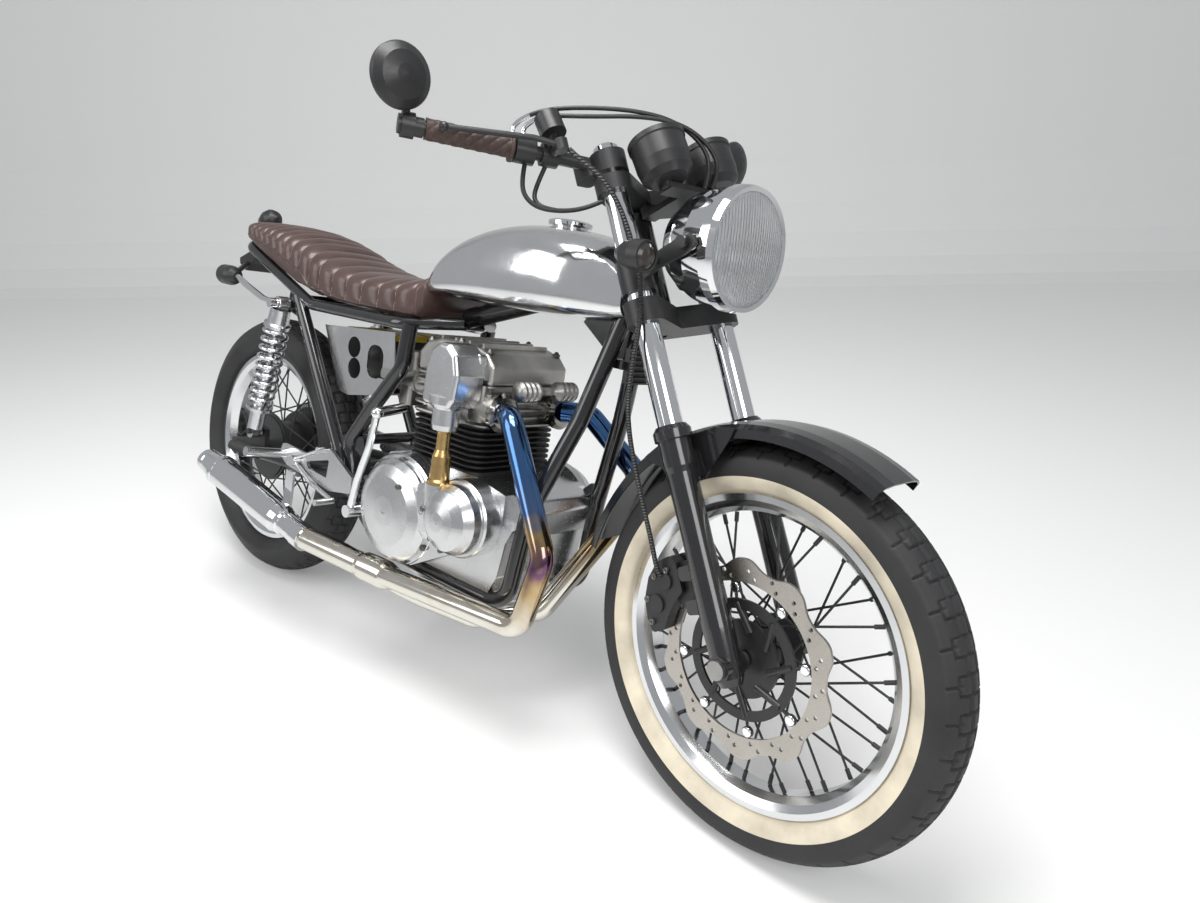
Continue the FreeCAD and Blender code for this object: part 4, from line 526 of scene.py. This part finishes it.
plated = finish("plated_screw", (0.17, 0.165, 0.155), metallic=1.0, roughness=0.42, grain=400,
                bump=0.1, tint=0.15)
lathe("cover_screws", SCREW, seated("clutch_cover", COVER_SCREWS, TO_LEFT), plated, "chassis",
      CHASSIS, around=24)
lathe("cover_nuts", DOME_NUT, seated("rocker_cover", HEAD_NUTS, DOWN), plated, "chassis", CHASSIS,
      around=24)
buttons = []
for k in range(BUTTONS):
    angle = math.radians(360 // BUTTONS * k + BUTTON_TURN)
    spot = (BUTTON_RING * math.cos(angle), BUTTON_OUT, BUTTON_RING * math.sin(angle))
    buttons.append((spot, TO_RIGHT))
lathe("disc_buttons", BUTTON, buttons, silvered, "front_wheel", FRONT_WHEEL, around=28)
lathe("caliper_bolts", SCREW, [(spot, TO_RIGHT) for spot in CALIPER_BOLTS], plated, "steering",
      FORK, around=24)

# Tyres
# Vulcanised rubber with a stepped zigzag tread. The front one has a cream band moulded on its
# walls, and both stand on the floor as the solids they replace do.
REAR_WHEEL = placed(AXIS_X, AXIS_Y, AXIS_Z, REAR_AXLE)
TREAD_PITCH, TREAD_DEPTH, TREAD_BAND = 0.052, 0.0042, 0.022
TREAD_TO = math.radians(44)
ZIGZAG = 0.008
CUT_LINES = (-0.5, 0.0, 0.5)
CUT_HALF, STEP_HALF, STEP_REACH = 0.0022, 0.0018, 0.0102
EDGE_FROM, EDGE_TO = 0.58, 1.02
BEAD_INSET, BEAD_FOOT, BEAD_TOP = 0.0043, 0.0125, 0.001
WALL = ((0.007, 0.80), (0.022, 0.95), (0.038, 1.0))
CROWN_DEGREES, CROWN_STEPS = 48, 5
CREAM_BAND = (0.255, 0.284)
rubber = finish("tyre_rubber", (0.020, 0.020, 0.021), metallic=0.0, roughness=0.62, grain=380,
                bump=0.35, tint=0.25, uneven=0.08)
cream_rubber = finish("cream_band", (0.66, 0.59, 0.46), metallic=0.0, roughness=0.66, grain=300,
                      bump=0.3, tint=0.22, uneven=0.08)


def groove(turn, y, radius, half):
    """How deep the tread is cut at this place, from 0 to 1."""
    along = turn * radius / TREAD_PITCH
    step = along - math.floor(along)
    zigzag = ZIGZAG if step < 0.5 else -ZIGZAG
    if any(abs(y - line * half - zigzag) < CUT_HALF for line in CUT_LINES):
        return 1.0
    for change in (0.0, 0.5):
        near = min(abs(step - change), 1 - abs(step - change)) * TREAD_PITCH
        if near < STEP_HALF and any(abs(y - line * half) < STEP_REACH for line in CUT_LINES):
            return 1.0
    edge_step = abs(step - (0.25 if y > 0 else 0.75)) * TREAD_PITCH
    if edge_step < STEP_HALF and EDGE_FROM * half < abs(y) < EDGE_TO * half:
        return 1.0
    return 0.0


def section(radius, width, rim_radius, rim_width, crown, across):
    """Outline of the tyre from one bead over the tread to the other, as (radius, y) in metres."""
    half = width / 2
    bead = rim_width / 2 - BEAD_INSET
    knots = [(rim_radius - BEAD_FOOT, bead), (rim_radius + BEAD_TOP, bead)]
    knots += [(rim_radius + out, half * share) for out, share in WALL]
    for k in range(CROWN_STEPS):
        angle = math.radians(CROWN_DEGREES * (1 - k / CROWN_STEPS))
        knots.append((radius - crown * (1 - math.cos(angle)), crown * math.sin(angle)))
    knots.append((radius, 0.0))
    line = [(r, -y) for r, y in knots] + [(r, y) for r, y in reversed(knots[:-1])]
    lengths = [0.0]
    for (r0, y0), (r1, y1) in zip(line, line[1:]):
        lengths.append(lengths[-1] + math.hypot(r1 - r0, y1 - y0))
    outline = []
    for k in range(across + 1):
        want = lengths[-1] * k / across
        i = max(j for j in range(len(line) - 1) if lengths[j] <= want + 1e-9)
        t = (want - lengths[i]) / (lengths[i + 1] - lengths[i])
        p = [line[max(i - 1, 0)], line[i], line[i + 1], line[min(i + 2, len(line) - 1)]]
        if i in (0, len(line) - 2):
            outline.append(tuple(p[1][c] + (p[2][c] - p[1][c]) * t for c in (0, 1)))
        else:
            outline.append(tuple(
                0.5 * (2 * p[1][c] + (p[2][c] - p[0][c]) * t
                       + (2 * p[0][c] - 5 * p[1][c] + 4 * p[2][c] - p[3][c]) * t * t
                       + (3 * p[1][c] - p[0][c] - 3 * p[2][c] + p[3][c]) * t ** 3)
                for c in (0, 1)))
    return outline


def tyre(name, node, radius, width, rim_radius, rim_width, crown, around, across, body, at,
         band=None):
    """One tyre with its cut tread, and a pale band on its walls between two radii."""
    profile = section(radius, width, rim_radius, rim_width, crown, across)
    tread_half = crown * math.sin(TREAD_TO)
    points = []
    for j in range(around):
        turn = 2 * math.pi * j / around
        for r, y in profile:
            if r > radius - TREAD_BAND and abs(y) < tread_half * EDGE_TO:
                r -= TREAD_DEPTH * groove(turn, y, radius, tread_half)
            points.append((r * math.cos(turn), y, r * math.sin(turn)))
    wide = across + 1
    faces = []
    for j in range(around):
        for k in range(across):
            a, b = j * wide + k, ((j + 1) % around) * wide + k
            faces.append((a, b, b + 1, a + 1))
    made = piece(name, points, faces, rubber, body, at)
    if band:
        made.data.materials.append(cream_rubber)
        pale_rings = [k for k in range(across)
                      if band[0] < (profile[k][0] + profile[k + 1][0]) / 2 < band[1]]
        for j in range(around):
            for k in pale_rings:
                made.data.polygons[j * across + k].material_index = 1
    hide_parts(node)


tyre("front_tyre_tread", "front_tyre", radius=0.331, width=0.100, rim_radius=0.255,
     rim_width=0.066, crown=0.064, around=1080, across=84, body="front_wheel", at=FRONT_WHEEL,
     band=CREAM_BAND)
tyre("rear_tyre_tread", "rear_tyre", radius=0.332, width=0.128, rim_radius=0.242,
     rim_width=0.086, crown=0.066, around=960, across=96, body="rear_wheel", at=REAR_WHEEL)

# Seat
# Dark brown leather over foam, sewn in cross-wise tucks with tan thread. The tail is plain, with
# piping round its edge, and the nose turns up against the tank.
SEAT_LINE = ((-100, 70, 850, 880), (-86, 88, 846, 894), (-56, 104, 838, 901), (0, 114, 822, 902),
             (70, 119, 800, 898), (140, 121, 778, 888), (200, 122, 764, 875),
             (270, 123, 752, 852), (350, 123, 743, 832), (430, 123, 741, 821),
             (510, 121, 741, 819), (590, 117, 741, 824), (628, 111, 744, 836),
             (641, 100, 764, 840))
SEAMS = (-34, -2, 30, 62, 96, 130, 166, 204, 246, 290, 342, 397, 452, 510, 564, 616)
PIPING = ((-92, 868), (-9, 855), (66, 843), (141, 824), (190, 808), (231, 786), (261, 757),
          (291, 739))
TUCK_DEPTH, TUCK_SWELL = 10.0, 0.55
FIRST_TUCK, FIRST_SWELL, LAST_TUCK_TO = 8.0, 0.5, 662
PAN, PAN_BEND, PAN_RISE, PAN_RUN = 741.0, 264, 109, 322
EASED = 0.35
SIDE_ABOVE, SIDE_BELOW, TOP_FULL, BASE_FULL = 0.7, 0.30, 0.8, 0.3
TUCK_FADE, EDGE_FADE = 24.0, 6.0
PIPING_SINK, PIPING_HALF = 2.5, 4.0
COVER_FROM, COVER_TO = -99.5, 640.5
COVER_RINGS, COVER_ROUND = 620, 96


def piping_height(x):
    """Height of the sewn edge between the tucked top and the tail's plain side."""
    for (x0, z0), (x1, z1) in zip(PIPING, PIPING[1:]):
        if x0 <= x <= x1:
            return z0 + (z1 - z0) * (x - x0) / (x1 - x0)
    return PIPING[0][1] if x < PIPING[0][0] else 0.0


def tuck(x):
    """Swell of the padding at this place, from 0 on a seam to 1 between two."""
    if x < SEAMS[0]:
        return min(1.0, (SEAMS[0] - x) / FIRST_TUCK) ** FIRST_SWELL
    for x0, x1 in zip(SEAMS, SEAMS[1:] + (LAST_TUCK_TO,)):
        if x0 <= x <= x1:
            return math.sin(math.pi * (x - x0) / (x1 - x0)) ** TUCK_SWELL
    return 1.0


def seat_size(x):
    """Half width, base and top of the seat at one place along the machine, in millimetres."""
    i = max(k for k in range(len(SEAT_LINE) - 1) if SEAT_LINE[k][0] <= x or k == 0)
    a, b = SEAT_LINE[i], SEAT_LINE[i + 1]
    t = (x - a[0]) / (b[0] - a[0])
    t = t * t * (3 - 2 * t) * EASED + t * (1 - EASED)
    width, base, top = (a[c] + (b[c] - a[c]) * t for c in (1, 2, 3))
    pan = PAN if x > PAN_BEND else PAN + (PAN_BEND - x) * PAN_RISE / PAN_RUN
    return width, max(base, pan), top


def seat_spot(x, angle, dip=True):
    """Point of the cover at one place along it and round it, in millimetres."""
    half, base, top = seat_size(x)
    c, s = math.cos(angle), math.sin(angle)
    y = half * math.copysign(abs(c) ** (SIDE_BELOW if s < 0 else SIDE_ABOVE), c)
    z = (base + top) / 2 + (top - base) / 2 * math.copysign(
        abs(s) ** (TOP_FULL if s > 0 else BASE_FULL), s)
    edge = piping_height(x)
    shrink = TUCK_DEPTH * (1 - tuck(x)) * max(0.0, min(1.0, (z - base) / TUCK_FADE))
    shrink *= max(0.0, min(1.0, (z - edge) / EDGE_FADE))
    if edge:
        shrink = max(shrink, PIPING_SINK * max(0.0, 1 - abs(z - edge) / PIPING_HALF))
    inward = Vector((0, -y, (base + top) / 2 - z)).normalized() * (shrink if dip else 0.0)
    return Vector((x, y + inward.y, z + inward.z))


leather = finish("brown_leather", (0.062, 0.034, 0.029), metallic=0.0, roughness=0.40, grain=420,
                 bump=0.35, tint=0.22, uneven=0.10, coat=0.25)
seat_points = []
for j in range(COVER_RINGS + 1):
    x = COVER_FROM + (COVER_TO - COVER_FROM) * j / COVER_RINGS
    for k in range(COVER_ROUND):
        seat_points.append(seat_spot(x, 2 * math.pi * (k + 0.5) / COVER_ROUND) * MM)
seat_faces = []
for j in range(COVER_RINGS):
    for k in range(COVER_ROUND):
        a, b = j * COVER_ROUND + k, j * COVER_ROUND + (k + 1) % COVER_ROUND
        seat_faces.append((a, b, b + COVER_ROUND, a + COVER_ROUND))
seat_faces.append(tuple(reversed(range(COVER_ROUND))))
seat_faces.append(tuple(range(COVER_RINGS * COVER_ROUND, (COVER_RINGS + 1) * COVER_ROUND)))
seat_cover = piece("seat_cover", seat_points, seat_faces, leather, "chassis", CHASSIS)
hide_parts("seat")

# Stitches and piping
# Short stitches of tan thread, just in front of each seam but the foremost, over the seat and down
# to its edge. A leather-covered cord is sewn in where the tail's side meets the top.
thread = finish("tan_thread", (0.42, 0.30, 0.20), metallic=0.0, roughness=0.7, grain=600, bump=0.2,
                tint=0.15)
STITCH, STITCH_GAP, THREAD_R = 3.6, 6.0, 0.55
BESIDE_SEAM = 2.2
ABOVE_PIPING, ABOVE_BASE = 3, 6
SEAT_MIDDLE = 790
ROW_STEPS, ROW_FROM, ROW_TO = 240, -40, 280
thread_points, thread_faces = [], []


def stitch_row(line):
    """Short raised stitches along a line of points, in millimetres."""
    walked = 0.0
    for a, b in zip(line, line[1:]):
        walked += (b - a).length
        if walked < STITCH_GAP:
            continue
        walked = 0.0
        way = (b - a).normalized()
        out = Vector((0, a.y, a.z - SEAT_MIDDLE)).normalized()
        flank = way.cross(out).normalized()
        start = len(thread_points)
        for end in (-STITCH / 2, STITCH / 2):
            for u, v in ((-1, -1), (1, -1), (1, 1), (-1, 1)):
                thread_points.append((a + way * end + (flank * u + out * v) * THREAD_R) * MM)
        for quad in ((0, 1, 2, 3), (7, 6, 5, 4), (0, 4, 5, 1), (1, 5, 6, 2), (2, 6, 7, 3),
                     (3, 7, 4, 0)):
            thread_faces.append(tuple(start + q for q in quad))


for seam in SEAMS[:-1]:
    row = [seat_spot(seam + BESIDE_SEAM, math.pi * k / ROW_STEPS)
           for k in range(ROW_FROM, ROW_TO + 1)]
    low = max(piping_height(seam) + ABOVE_PIPING, seat_size(seam)[1] + ABOVE_BASE)
    stitch_row([p for p in row if p.z > low])
piece("seat_stitches", thread_points, thread_faces, thread, "chassis", CHASSIS,
      smooth=False)
PIPING_R = 3.0
PIPING_FROM, PIPING_TO = -92, 290
PIPING_RINGS, PIPING_ROUND = 96, 10
ANGLES_TRIED = [math.pi / 2 * (k / 160) for k in range(-110, 160)]
welt_points, welt_faces = [], []
for side in (-1, 1):
    line = []
    for j in range(PIPING_RINGS):
        x = PIPING_FROM + (PIPING_TO - PIPING_FROM) * j / (PIPING_RINGS - 1)
        edge = max(piping_height(x), seat_size(x)[1] + PIPING_SINK)
        best = min(ANGLES_TRIED, key=lambda q: abs(seat_spot(x, q, dip=False).z - edge))
        spot = seat_spot(x, best)
        line.append(Vector((spot.x, side * abs(spot.y), spot.z)))
    start = len(welt_points)
    for j, spot in enumerate(line):
        way = (line[min(j + 1, PIPING_RINGS - 1)] - line[max(j - 1, 0)]).normalized()
        flat = way.cross(Vector((0, 1, 0))).normalized()
        up = flat.cross(way)
        for k in range(PIPING_ROUND):
            angle = 2 * math.pi * k / PIPING_ROUND
            welt_points.append((spot + (flat * math.cos(angle) + up * math.sin(angle)) * PIPING_R)
                               * MM)
    welt_faces += tube_faces(start, PIPING_RINGS, PIPING_ROUND)
piece("seat_piping", welt_points, welt_faces, leather, "chassis", CHASSIS)

# Viewpoint
# The photograph was taken standing, ahead of the machine and to its right, with a wide lens. The
# picture is 1200 pixels wide.
EYE = Vector((1.2690, -1.2147, 1.1096))
EYE_YAW = 130.912
EYE_DOWN = 21.476
EYE_ROLL = -0.0155
FOCAL_PIXELS, PICTURE_PIXELS = 835.8, 1200
yaw, down = math.radians(EYE_YAW), math.radians(EYE_DOWN)
ahead = Vector((math.cos(down) * math.cos(yaw), math.cos(down) * math.sin(yaw), -math.sin(down)))
level = Vector((math.sin(yaw), -math.cos(yaw), 0))
upward = level.cross(ahead)
right = level * math.cos(EYE_ROLL) + upward * math.sin(EYE_ROLL)
above = upward * math.cos(EYE_ROLL) - level * math.sin(EYE_ROLL)
eye = bpy.data.cameras.new("eye")
eye.sensor_width = 36
eye.lens = FOCAL_PIXELS / PICTURE_PIXELS * eye.sensor_width
camera = bpy.data.objects.new("eye", eye)
camera.matrix_world = placed(right, above, -ahead, EYE)
bpy.context.scene.collection.objects.link(camera)
bpy.context.scene.camera = camera
bpy.context.scene.view_settings.view_transform = "Standard"

# Studio
# A pale floor that runs up into a pale wall, with soft lamps over and beside the machine. The floor
# keeps the machine's shadow.
FLOOR_LIFT = 0.13
SIDE, FRONT, BACK, HIGH, SWEEP_R = 6.0, 7.0, 4.2, 5.0, 0.8
AIR, AIR_STRENGTH = (0.95, 0.97, 1.0, 1), 0.42
LAMPS = (("lamp_over", (0.3, -0.6, 3.2), 1.5, 84), ("lamp_front", (3.0, -1.6, 2.2), 1.6, 40),
         ("lamp_side", (-1.4, -3.0, 2.4), 2.2, 45))
LAMPS_TOWARDS = Vector((0, -0.15, 0.5))
pale = finish("studio_floor", (0.76, 0.76, 0.75), metallic=0.0, roughness=0.85, grain=12,
              uneven=0.02)
seen = pale.node_tree.nodes.new("ShaderNodeLightPath")
lift = worked(pale.node_tree, "MULTIPLY", seen.outputs["Is Camera Ray"], FLOOR_LIFT)
pale_shader = pale.node_tree.nodes["Principled BSDF"]
pale_shader.inputs["Emission Color"].default_value = (1, 1, 1, 1)
pale.node_tree.links.new(lift, pale_shader.inputs["Emission Strength"])
floor_line = [(FRONT, 0.0), (-BACK, 0.0)]
for a in (0.3, 0.6, 0.9, 1.2, 1.57):
    floor_line.append((-BACK - SWEEP_R * math.sin(a), SWEEP_R - SWEEP_R * math.cos(a)))
floor_line.append((-BACK - SWEEP_R, HIGH))
back_way = Vector((ahead.x, ahead.y, 0)).normalized()
side_way = Vector((back_way.y, -back_way.x, 0))
floor_points = []
for d, z in floor_line:
    for side in (-SIDE, SIDE):
        floor_points.append(-back_way * d + side_way * side + Vector((0, 0, z)))
floor_faces = [(2 * k, 2 * k + 1, 2 * k + 3, 2 * k + 2) for k in range(len(floor_line) - 1)]
floor_mesh = bpy.data.meshes.new("studio_floor")
floor_mesh.from_pydata(floor_points, [], floor_faces)
floor_mesh.materials.append(pale)
floor = bpy.data.objects.new("studio_floor", floor_mesh)
bpy.context.scene.collection.objects.link(floor)
world = bpy.data.worlds.new("studio_air")
world.use_nodes = True
world.node_tree.nodes["Background"].inputs["Color"].default_value = AIR
world.node_tree.nodes["Background"].inputs["Strength"].default_value = AIR_STRENGTH
bpy.context.scene.world = world
for name, at, size, power in LAMPS:
    light = bpy.data.lights.new(name, "AREA")
    light.energy = power
    light.size = size
    lamp = bpy.data.objects.new(name, light)
    lamp.location = at
    lamp.rotation_euler = (LAMPS_TOWARDS - Vector(at)).to_track_quat("-Z", "Y").to_euler()
    bpy.context.scene.collection.objects.link(lamp)
